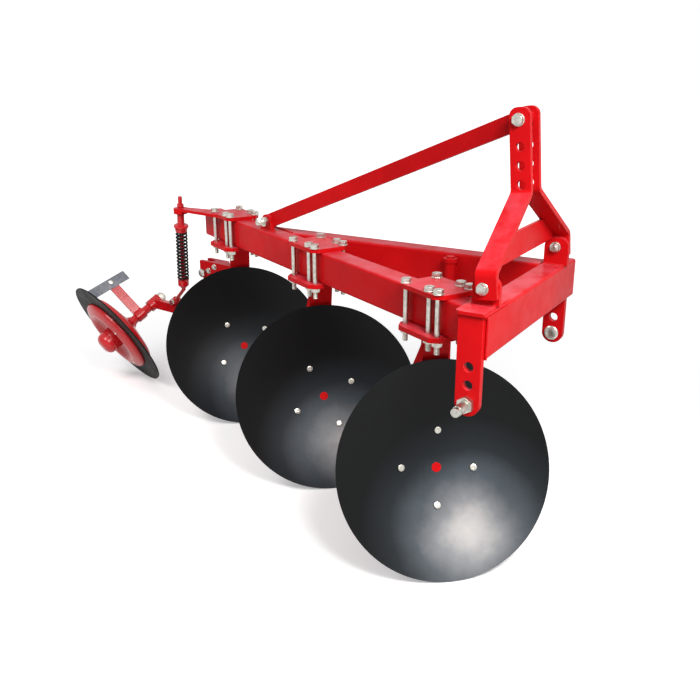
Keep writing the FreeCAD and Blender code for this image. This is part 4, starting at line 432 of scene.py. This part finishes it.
right_low, right_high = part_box("hitch_bracket_right")
left_low, left_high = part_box("hitch_bracket_left")
lines = [((x, left_low[1], left_high[2]), (x, left_high[1], left_high[2]))
         for x in (left_low[0], left_high[0])]
lines.append(((right_low[0], right_low[1] + plate_bead_stop, cross_low[2]),
              (right_low[0], right_high[1] - plate_bead_stop, cross_low[2])))
beads("hitch_bracket_welds", lines, 0.004)

lines = []
for name, foot in (("mast_lug_right", corner_high[2]), ("mast_lug_left", cross_high[2])):
    low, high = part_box(name)
    lines += open_box(low[0], low[1], high[0], min(high[1], front_y), foot)
beads("mast_lug_welds", lines, 0.0035)


def foot_lines(name, height):
    """Outline of the slanted rectangle in which a node stands on a beam."""
    mesh = nodes[name].data
    points = np.array([vertex.co for vertex in mesh.vertices])
    foot = points[abs(points[:, 2] - height) < 0.0005][:, :2]
    centre = (foot.max(0) + foot.min(0)) / 2
    ways = ((1, 0.01), (-0.01, 1), (-1, -0.01), (0.01, -1))
    corners = [foot[(foot @ np.array(way)).argmax()] for way in ways]
    corners.sort(key=lambda spot: math.atan2(spot[1] - centre[1], spot[0] - centre[0]))
    ends = [(float(x), float(y), height) for x, y in corners]
    return list(zip(ends, ends[1:] + ends[:1]))


beads("stay_lug_welds", foot_lines("stay_lug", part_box("stay_lug")[0][2]), 0.0035)

lines = []
for number in (1, 2, 3):
    leg = f"disc_leg_{number}"
    lines += foot_lines(leg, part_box(leg)[1][2])
beads("disc_leg_welds", lines, 0.004)


# ---------------------------------------------------------------- plated bolts
# The clamps, mast and stay are held by zinc-plated hexagon bolts with washers and
# nuts. Heads and nuts are forged with a 30 degree chamfer; the thread is rolled.
same_step = 1e-4


def plating(name, colour, roughness):
    """Zinc plating: cloudy, brighter on the edges, with a fine grain."""
    material = bpy.data.materials.new(name)
    tree = nodes_of(material)
    shader = add(tree, "ShaderNodeBsdfPrincipled", Metallic=1.0)
    shown = add(tree, "ShaderNodeOutputMaterial")
    rounded, turned = edge_mask(tree, 0.0008)
    cloud = noise(tree, 90.0, 4.0)
    level = spread(tree, cloud, 0.35, 0.68, 0, 1)
    body = mixed(tree, level, tuple(c * 0.70 for c in colour), colour)
    rubbed = mixed(tree, turned, body, tuple(min(1, c * 1.15) for c in colour))
    tree.links.new(rubbed, shader.inputs["Base Color"])
    rough = spread(tree, cloud, 0.3, 0.7, roughness * 1.25, roughness * 0.8)
    tree.links.new(rough, shader.inputs["Roughness"])
    fine = bumped(tree, noise(tree, 900.0, 2.0), rounded, 0.12, 0.0003)
    tree.links.new(fine, shader.inputs["Normal"])
    tree.links.new(shader.outputs[0], shown.inputs["Surface"])
    return material


zinc = plating("zinc_plating", (0.62, 0.60, 0.54), 0.34)
for name in ("hitch_pin_right", "hitch_pin_left"):
    finish_node(name, zinc)


def loose_solids(name):
    """Corner points of each separate solid of a frame node, in metres."""
    mesh = nodes[name].data
    flat = np.empty(len(mesh.vertices) * 3)
    mesh.vertices.foreach_get("co", flat)
    places = flat.reshape(-1, 3)
    numbers = {}
    rounded = np.round(places * 1e5).astype(int)
    ids = [numbers.setdefault(tuple(row), len(numbers)) for row in rounded]
    leader = list(range(len(numbers)))

    def first_of(one):
        while leader[one] != one:
            leader[one] = leader[leader[one]]
            one = leader[one]
        return one

    for face in mesh.polygons:
        corners = [first_of(ids[vertex]) for vertex in face.vertices]
        for corner in corners[1:]:
            leader[first_of(corner)] = first_of(corners[0])
    groups = {}
    for vertex, one in enumerate(ids):
        groups.setdefault(first_of(one), []).append(vertex)
    return [np.unique(np.round(places[group], 6), axis=0) for group in groups.values()]


def bolt_seat(points):
    """Turned place of a bolt's head, its steps along, its radius at each, and its shank's."""
    from_middle = points - points.mean(0)
    axes = np.linalg.eigh(np.cov(from_middle.T))[1]
    counts = [len(np.unique(np.round(from_middle @ axes[:, k], 4))) for k in range(3)]
    axis = axes[:, counts.index(min(counts))]
    along = from_middle @ axis
    at_low, at_high = along < along.min() + same_step, along > along.max() - same_step
    ends = [points[at_low].mean(0), points[at_high].mean(0)]

    def reach(group, end):
        return np.linalg.norm(points[group] - end, axis=1).max()

    if reach(at_high, ends[1]) > reach(at_low, ends[0]):
        ends.reverse()
        axis = -axis
    start = ends[0]
    along = (points - start) @ axis
    out = points - start - np.outer(along, axis)
    far = np.linalg.norm(out, axis=1)
    steps = sorted({round(float(a), 4) for a in along})
    radii = {step: max(far[abs(along - step) < same_step]) for step in steps}
    head = abs(along - steps[0]) < same_step
    side = out[head][far[head].argmax()]
    side = side / np.linalg.norm(side)
    turn = np.eye(4)
    turn[:3, 0], turn[:3, 1], turn[:3, 2], turn[:3, 3] = side, np.cross(axis, side), axis, start
    return Matrix(turn.tolist()), steps, radii, float(min(far[far > 0.002]))


def grow_rings(name, rings, sides):
    """Closed turned shape: a disc drawn out step by step to (height, radius) rings."""
    height, radius = rings[0]
    bpy.ops.mesh.primitive_circle_add(vertices=sides, radius=radius, fill_type="NGON",
                                      location=(0, 0, height))
    piece = bpy.context.object
    piece.name = name
    bpy.ops.object.mode_set(mode="EDIT")
    bpy.ops.mesh.select_all(action="SELECT")
    for above, wide in rings[1:]:
        bpy.ops.mesh.extrude_region_move(TRANSFORM_OT_translate={"value": (0, 0, above - height)})
        bpy.ops.transform.resize(value=(wide / radius, wide / radius, 1))
        height, radius = above, wide
    bpy.ops.mesh.select_all(action="SELECT")
    bpy.ops.mesh.normals_make_consistent(inside=False)
    bpy.ops.object.mode_set(mode="OBJECT")
    bpy.ops.object.transform_apply(location=True, rotation=True, scale=True)
    return piece


def hexagon_block(name, low, high, corner, low_cut, high_cut):
    """Forged hexagon: a turned blank, chamfered where asked, cut by six flats."""
    flat = corner * math.cos(math.radians(30))
    face = flat * 0.95
    fall = (corner - face) * math.tan(math.radians(30))
    rings = [(low, face), (low + fall, corner)] if low_cut else [(low, corner)]
    rings += [(high - fall, corner), (high, face)] if high_cut else [(high, corner)]
    piece = grow_rings(name, rings, 48)
    bpy.ops.object.mode_set(mode="EDIT")
    for sixth in range(6):
        angle = math.radians(30 + 60 * sixth)
        normal = Vector((math.cos(angle), math.sin(angle), 0))
        bpy.ops.mesh.select_all(action="SELECT")
        bpy.ops.mesh.bisect(plane_co=normal * flat, plane_no=normal, use_fill=True,
                            clear_outer=True)
    bpy.ops.object.mode_set(mode="OBJECT")
    return piece


def stud(name, low, high, radius, thread_from, pitch, sides=20):
    """Round shank with a chamfered end and a rolled thread over its last length."""
    rings = [(low, radius), (thread_from, radius)]
    root = radius - pitch * 0.6
    height = thread_from
    while height + pitch < high - pitch * 0.6:
        rings += [(height + pitch * 0.5, root), (height + pitch, radius)]
        height += pitch
    rings += [(high - pitch * 0.6, radius), (high, root)]
    return grow_rings(name, rings, sides)


def washer(name, low, high, radius):
    """Stamped washer with rounded rims."""
    lip = (high - low) * 0.25
    rings = [(low, radius - lip), (low + lip, radius), (high - lip, radius), (high, radius - lip)]
    return grow_rings(name, rings, 32)


def threaded_bolt(name, steps, radii, shank, pitch, washers=(), slim=1.0):
    """Bolt drawn along +Z from the outer face of its head, with the frame's own steps."""
    corner = radii[steps[0]] * slim
    nut_low, nut_high, end = steps[-3], steps[-2], steps[-1]
    parts = [hexagon_block(name, 0, steps[1], corner, True, False),
             hexagon_block("nut", nut_low, nut_high, corner, True, True),
             stud("shank", steps[1] * 0.5, end, shank, nut_low - pitch * 2, pitch)]
    for low, high in washers:
        parts.append(washer("washer", low, high, corner * 1.1))
    return joined(parts)


def fit_bolts(node, body, pitch, like=threaded_bolt, **more):
    """A detailed bolt at each of a node's own bolts; the first is modelled, the rest copied."""
    model = None
    for number, points in enumerate(loose_solids(node), 1):
        place, steps, radii, shank = bolt_seat(points)
        if model is None:
            model = like("bolt", steps, radii, shank, pitch, **more)
        only(model)
        bpy.ops.object.duplicate(linked=False)
        copy = bpy.context.object
        copy.matrix_world = place
        settle(copy, f"{node}_{number}", zinc, body)
        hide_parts(node)
    only(model)
    bpy.ops.object.delete()


for number in (1, 2, 3):
    fit_bolts(f"clamp_bolts_{number}", "frame", pitch=0.002, washers=[(0.012, 0.015)])
fit_bolts("mast_foot_bolts", "frame", pitch=0.0025,
          washers=[(0.0105, 0.0130), (0.0450, 0.0475)], slim=0.88)
fit_bolts("mast_top_bolt", "frame", pitch=0.0025,
          washers=[(0.0118, 0.0143), (0.1003, 0.1028)], slim=0.86)
fit_bolts("stay_bolt", "frame", pitch=0.0025)
fit_bolts("tail_pivot_bolt", "frame", pitch=0.0025)
fit_bolts("spring_rod_pin", "frame", pitch=0.002)
fit_bolts("scraper_bolt", "frame", pitch=0.00175)


# ---------------------------------------------------------------- disc bolts
# Four bolts hold each disc to its hub flange. Their round heads are slightly
# domed with a small dimple, and sit on the hollow face of the disc.
def disc_bolt(name, steps, radii, shank, pitch):
    """Round-headed bolt drawn along +Z from its head, with the frame's own steps."""
    wide = radii[steps[0]]
    high = steps[1]
    head = grow_rings(name, [(high, wide), (high * 0.30, wide), (high * 0.08, wide * 0.93),
                             (0, wide * 0.80), (0, wide * 0.34), (high * 0.30, wide * 0.26),
                             (high * 0.34, wide * 0.10)], 32)
    nut_low, nut_high, end = steps[-3], steps[-2], steps[-1]
    nut = hexagon_block("nut", nut_low, nut_high, wide, True, True)
    return joined([head, nut, stud("shank", high * 0.5, end, shank, nut_low - pitch, pitch)])


for number in (1, 2, 3):
    fit_bolts(f"disc_bolts_{number}", f"disc_assembly_{number}", pitch=0.0015, like=disc_bolt)


# ---------------------------------------------------------------- plough discs
# Pressed discs of hardened boron steel, coated in satin black. Spinning leaves
# faint rings round the middle, and a pale patch low in each hollow is a painted highlight in
# place of the lamp's reflection.
# Reach, colour stops and pale core of the painted highlight in each disc's hollow.
highlight_reach = 0.34
highlight_stops = ((0.26, (0.009, 0.012, 0.015)), (0.48, (0.045, 0.055, 0.065)),
               (0.66, (0.15, 0.155, 0.165)), (0.80, (0.31, 0.30, 0.295)))
highlight_core = (0.44, 0.41, 0.39)


def disc_coating(name, joint, colour, roughness, highlight_place):
    """Satin coating of one disc, ringed round its joint, with a painted highlight set off from
    it.
    """
    material = bpy.data.materials.new(name)
    tree = nodes_of(material)
    shader = add(tree, "ShaderNodeBsdfPrincipled", IOR=1.26)
    shown = add(tree, "ShaderNodeOutputMaterial")
    where = add(tree, "ShaderNodeTexCoord")
    centred = add(tree, "ShaderNodeMapping", vector_type="TEXTURE")
    centred.inputs["Location"].default_value = joint["pos_m"]
    facing = Vector(joint["axis"]).to_track_quat("Z", "Y")
    centred.inputs["Rotation"].default_value = facing.to_euler()
    tree.links.new(where.outputs["Object"], centred.inputs["Vector"])
    flat = add(tree, "ShaderNodeVectorMath", operation="MULTIPLY")
    flat.inputs[1].default_value = (1, 1, 0)
    tree.links.new(centred.outputs[0], flat.inputs[0])
    reach = add(tree, "ShaderNodeVectorMath", operation="LENGTH")
    tree.links.new(flat.outputs[0], reach.inputs[0])
    rings = add(tree, "ShaderNodeTexNoise", noise_dimensions="1D", Scale=260.0, Detail=3.0)
    tree.links.new(reach.outputs["Value"], rings.inputs["W"])
    # Painted highlight: a pale warm-grey patch set below the middle of the hollow, in place of
    # the lamp's reflection, fading to the disc's black away from it.
    spot = add(tree, "ShaderNodeVectorMath", operation="DISTANCE")
    spot.inputs[1].default_value = Vector(joint["pos_m"]) + Vector(highlight_place)
    tree.links.new(where.outputs["Object"], spot.inputs[0])
    highlight_falloff = spread(tree, spot.outputs["Value"], highlight_reach, 0.0, 0, 1)
    sheen_clouds = spread(tree, noise(tree, 6.0, 5.0, 0.6), 0.30, 0.72, 0.82, 1.03)
    painted_highlight = add(tree, "ShaderNodeValToRGB")
    ramp = painted_highlight.color_ramp
    ramp.elements[0].color = (*colour, 1)
    ramp.elements[1].color = (*highlight_core, 1)
    for stop, shade in highlight_stops:
        ramp.elements.new(stop).color = (*shade, 1)
    tree.links.new(times(tree, highlight_falloff, sheen_clouds), painted_highlight.inputs[0])
    tree.links.new(painted_highlight.outputs[0], shader.inputs["Base Color"])
    rough = spread(tree, rings.outputs["Fac"], 0.3, 0.7, roughness * 0.94, roughness * 1.06)
    tree.links.new(rough, shader.inputs["Roughness"])
    rounded = add(tree, "ShaderNodeBevel", samples=4, Radius=0.001)
    ringed = bumped(tree, rings.outputs["Fac"], rounded.outputs[0], 0.05, 0.0006)
    gritty = bumped(tree, noise(tree, 600.0, 2.0), ringed, 0.06, 0.0005)
    tree.links.new(gritty, shader.inputs["Normal"])
    tree.links.new(shader.outputs[0], shown.inputs["Surface"])
    return material


for number in (1, 2, 3):
    coating = disc_coating(f"disc_coating_{number}", joints[f"disc_{number}_spin"],
                           colour=(0.0016, 0.0019, 0.0021), roughness=0.38,
                           highlight_place=(-0.03, 0.072, -0.19))
    finish_node(f"disc_{number}", coating)


# ---------------------------------------------------------------- furrow wheel
# The leaning rear wheel: a thin dark disc with a sharp edge, held between two
# pressed red bowls with rivets, on a turned nave with a domed grease cap.
rivet_circle = 0.146
rivet_start = 31.3


def standing(place, line):
    """Turned place whose own +Z runs along a line."""
    return Matrix.Translation(place) @ line.to_track_quat("Z", "Y").to_matrix().to_4x4()


wheel_line = Vector(joints["furrow_wheel_spin"]["axis"]).normalized()
wheel_place = standing(wheel_middle, wheel_line)
dark = enamel("dark_wheel_paint", (0.009, 0.009, 0.008), (0.075, 0.070, 0.062), 0.46,
              top_sheen=0.012)
finish_node("tail_wheel_disc", dark)
wet_red = enamel("wet_red_enamel", (0.50, 0.005, 0.009), (0.64, 0.045, 0.050), 0.25,
                 top_sheen=0.03, gloss=1.45)
for name in ("tail_arm", "scraper_bar", "spring_rod", "spring_lower_cup"):
    finish_node(name, wet_red)
bowl_rings = [(0.0910, 0.006), (0.0905, 0.018), (0.0885, 0.029), (0.0840, 0.0385),
              (0.0770, 0.0455), (0.0690, 0.0495), (0.0600, 0.0505), (0.0520, 0.0505),
              (0.0505, 0.0530), (0.0460, 0.0530), (0.0445, 0.0505), (0.0080, 0.0520),
              (0.0080, 0.0920), (0.0110, 0.1010), (0.0185, 0.1120), (0.0275, 0.1210),
              (0.0320, 0.1290), (0.0340, 0.1370), (0.0336, 0.1450), (0.0312, 0.1530),
              (0.0270, 0.1620), (0.0235, 0.1720), (0.0195, 0.1790), (0.0145, 0.1830),
              (0.0100, 0.1840), (0.0042, 0.1840), (0.0042, 0.1500), (-0.0042, 0.1500),
              (-0.0042, 0.1840), (-0.0280, 0.1840), (-0.0340, 0.1815), (-0.0385, 0.1770),
              (-0.0420, 0.1700), (-0.0720, 0.0600), (-0.0760, 0.0480), (-0.0775, 0.0400),
              (-0.0820, 0.0355), (-0.0820, 0.0210)]
hub = grow_rings("tail_wheel_bowls", bowl_rings, 96)
hub.matrix_world = wheel_place
settle(hub, "tail_wheel_bowls", wet_red, "furrow_wheel")
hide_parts("tail_wheel_hub")
for quarter in range(4):
    rivet = grow_rings("rivet", [(0.0300, 0.0062), (0.0330, 0.0060), (0.0352, 0.0046),
                                 (0.0360, 0.0022)], 20)
    turn = Matrix.Rotation(math.radians(rivet_start + 90 * quarter), 4, "Z")
    rivet.matrix_world = wheel_place @ turn @ Matrix.Translation((rivet_circle, 0, 0))
    settle(rivet, f"tail_wheel_rivet_{quarter + 1}", zinc, "furrow_wheel")


# ---------------------------------------------------------------- furrow wheel axle
# Turned steel bar, flared where it enters the wheel, painted with the frame, with
# a plated nut and bare thread behind the socket of the arm.
axle_rings = [(-0.0800, 0.0300), (-0.0870, 0.0290), (-0.0950, 0.0240), (-0.1030, 0.0198),
              (-0.2620, 0.0198)]
axle = grow_rings("tail_axle_bar", axle_rings, 40)
axle.matrix_world = wheel_place
settle(axle, "tail_axle_bar", wet_red, "frame")
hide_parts("tail_axle")
nut = hexagon_block("axle_nut", 0.2622, 0.2840, 0.0235, True, True)
collar = washer("axle_washer", 0.2600, 0.2630, 0.0255)
end = stud("axle_thread", 0.2500, 0.2900, 0.0150, 0.2620, 0.0025, 28)
tip = joined([nut, collar, end])
tip.matrix_world = wheel_place @ Matrix.Rotation(math.pi, 4, "X")
settle(tip, "tail_axle_nut", zinc, "frame")
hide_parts("tail_axle")


# ---------------------------------------------------------------- tail spring
# Coil spring wound from 8.4 mm wire and dipped in black enamel, between a turned
# cap with a sleeve round the rod and a small cup at its foot.
rod_line = Vector((0.1191, 0.1355, 0.9836)).normalized()
wire = 0.0042
coil = 0.0222
turns = 14
cap_high = 0.078


def top_of(name):
    """Middle of the upper end of a piece on the rod."""
    points = loose_solids(name)[0]
    heights = points @ np.array(rod_line)
    return Vector(points[heights > heights.max() - same_step].mean(0))


black = enamel("black_spring_enamel", (0.010, 0.010, 0.011), (0.10, 0.09, 0.085), 0.36,
               edge=0.001, top_sheen=0.02)
cup_top = top_of("spring_upper_cup")
cup_foot = top_of("spring_lower_cup")
run = (cup_top - cup_foot).dot(rod_line) - cap_high - wire * 2
bpy.ops.mesh.primitive_circle_add(vertices=10, radius=wire, location=(coil, 0, 0),
                                  rotation=(math.pi / 2, 0, 0))
spring = bpy.context.object
bpy.ops.object.transform_apply(location=True, rotation=True, scale=True)
winding = spring.modifiers.new("winding", "SCREW")
winding.screw_offset = run / turns
winding.iterations = turns
winding.steps = winding.render_steps = 28
apply_all(spring)
bpy.ops.object.mode_set(mode="EDIT")
bpy.ops.mesh.select_all(action="SELECT")
bpy.ops.mesh.remove_doubles(threshold=0.00001)
bpy.ops.mesh.select_all(action="DESELECT")
bpy.ops.mesh.select_non_manifold()
bpy.ops.mesh.edge_face_add()
bpy.ops.mesh.select_all(action="SELECT")
bpy.ops.mesh.normals_make_consistent(inside=False)
bpy.ops.object.mode_set(mode="OBJECT")
spring.matrix_world = standing(cup_foot + rod_line * wire, rod_line)
settle(spring, "tail_spring_coil", black, "frame")
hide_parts("tail_spring")
cap_rings = [(0, 0.0245), (0.0012, 0.0258), (0.0110, 0.0268), (0.0170, 0.0292),
             (0.0210, 0.0318), (0.0245, 0.0324), (0.0275, 0.0312), (0.0295, 0.0280),
             (0.0305, 0.0230), (0.0315, 0.0156), (0.0772, 0.0155), (cap_high, 0.0145)]
cap = grow_rings("spring_cap", cap_rings, 40)
cap.matrix_world = standing(cup_top - rod_line * cap_high, rod_line)
settle(cap, "spring_cap", wet_red, "frame")
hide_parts("spring_upper_cup")


# ---------------------------------------------------------------- tail bracket screws
# Two plated hexagon screws with washers hold the channel of the tail bracket to
# its leg, and their heads face the same way as the arm's pivot bolt.
screw_head = 0.0075
screw_washer = 0.0095
screw_spots = ((0.034, 0.0127), (0.0707, 0.0342))
pivot_place, pivot_steps = bolt_seat(loose_solids("tail_pivot_bolt")[0])[:2]
screw_line = pivot_place.col[2].to_3d()
plate_line = Vector((screw_line.y, -screw_line.x, 0))
for number, (along, above) in enumerate(screw_spots, 1):
    screw = joined([hexagon_block("screw", 0, screw_head, 0.0105, True, False),
                    washer("screw_washer", screw_head, screw_washer, 0.0125),
                    stud("screw_shank", 0.004, 0.0160, 0.0055, screw_washer, 0.0015)])
    sunk = screw_line * (pivot_steps[1] - screw_washer)
    offset = plate_line * along + Vector((0, 0, above)) + sunk
    screw.matrix_world = Matrix.Translation(offset) @ pivot_place
    settle(screw, f"tail_bracket_screw_{number}", zinc, "frame")


# ---------------------------------------------------------------- link pin heads
# The lower-link pins are forged with a low domed head, which stays inside the
# bracket while the nut draws the pin up from outside.
dome_rings = [(-0.0010, 0.0240), (0.0004, 0.0237), (0.0022, 0.0212), (0.0040, 0.0160),
              (0.0050, 0.0095), (0.0053, 0.0030)]
for side, inward in (("right", -1), ("left", 1)):
    low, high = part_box(f"hitch_pin_{side}")
    face = low[0] if inward < 0 else high[0]
    dome = grow_rings("dome", dome_rings, 40)
    spot = Vector((face, (low[1] + high[1]) / 2, (low[2] + high[2]) / 2))
    dome.matrix_world = standing(spot, Vector((inward, 0, 0)))
    settle(dome, f"hitch_pin_head_{side}", zinc, "frame")


# ---------------------------------------------------------------- scraper blade
# Strip of rolled steel left bare, bolted to its bar so that its edge scrapes soil
# off the furrow wheel. Its rolled skin is streaky and a little brighter on the edges.
def rolled_steel(name, light, deep, roughness):
    """Bare rolled steel: two shades in slow patches, faint scores, brighter edges."""
    material = bpy.data.materials.new(name)
    tree = nodes_of(material)
    shader = add(tree, "ShaderNodeBsdfPrincipled", Metallic=0.55, IOR=1.4)
    shown = add(tree, "ShaderNodeOutputMaterial")
    rounded, turned = edge_mask(tree, 0.0008)
    shades = spread(tree, noise(tree, 7.0, 3.0), 0.35, 0.65, 0, 1)
    body = mixed(tree, shades, deep, light)
    tree.links.new(mixed(tree, turned, body, (0.42, 0.42, 0.43)), shader.inputs["Base Color"])
    rough = spread(tree, noise(tree, 60.0, 4.0), 0.3, 0.7, roughness * 0.85, roughness * 1.2)
    tree.links.new(rough, shader.inputs["Roughness"])
    scored = bumped(tree, noise(tree, 45.0, 2.0, 0.5, (1, 1, 6)), rounded, 0.05, 0.0005)
    tree.links.new(scored, shader.inputs["Normal"])
    tree.links.new(shader.outputs[0], shown.inputs["Surface"])
    return material


bare = rolled_steel("scraper_steel", (0.12, 0.125, 0.14), (0.05, 0.06, 0.075), 0.48)
finish_node("scraper_blade", bare)
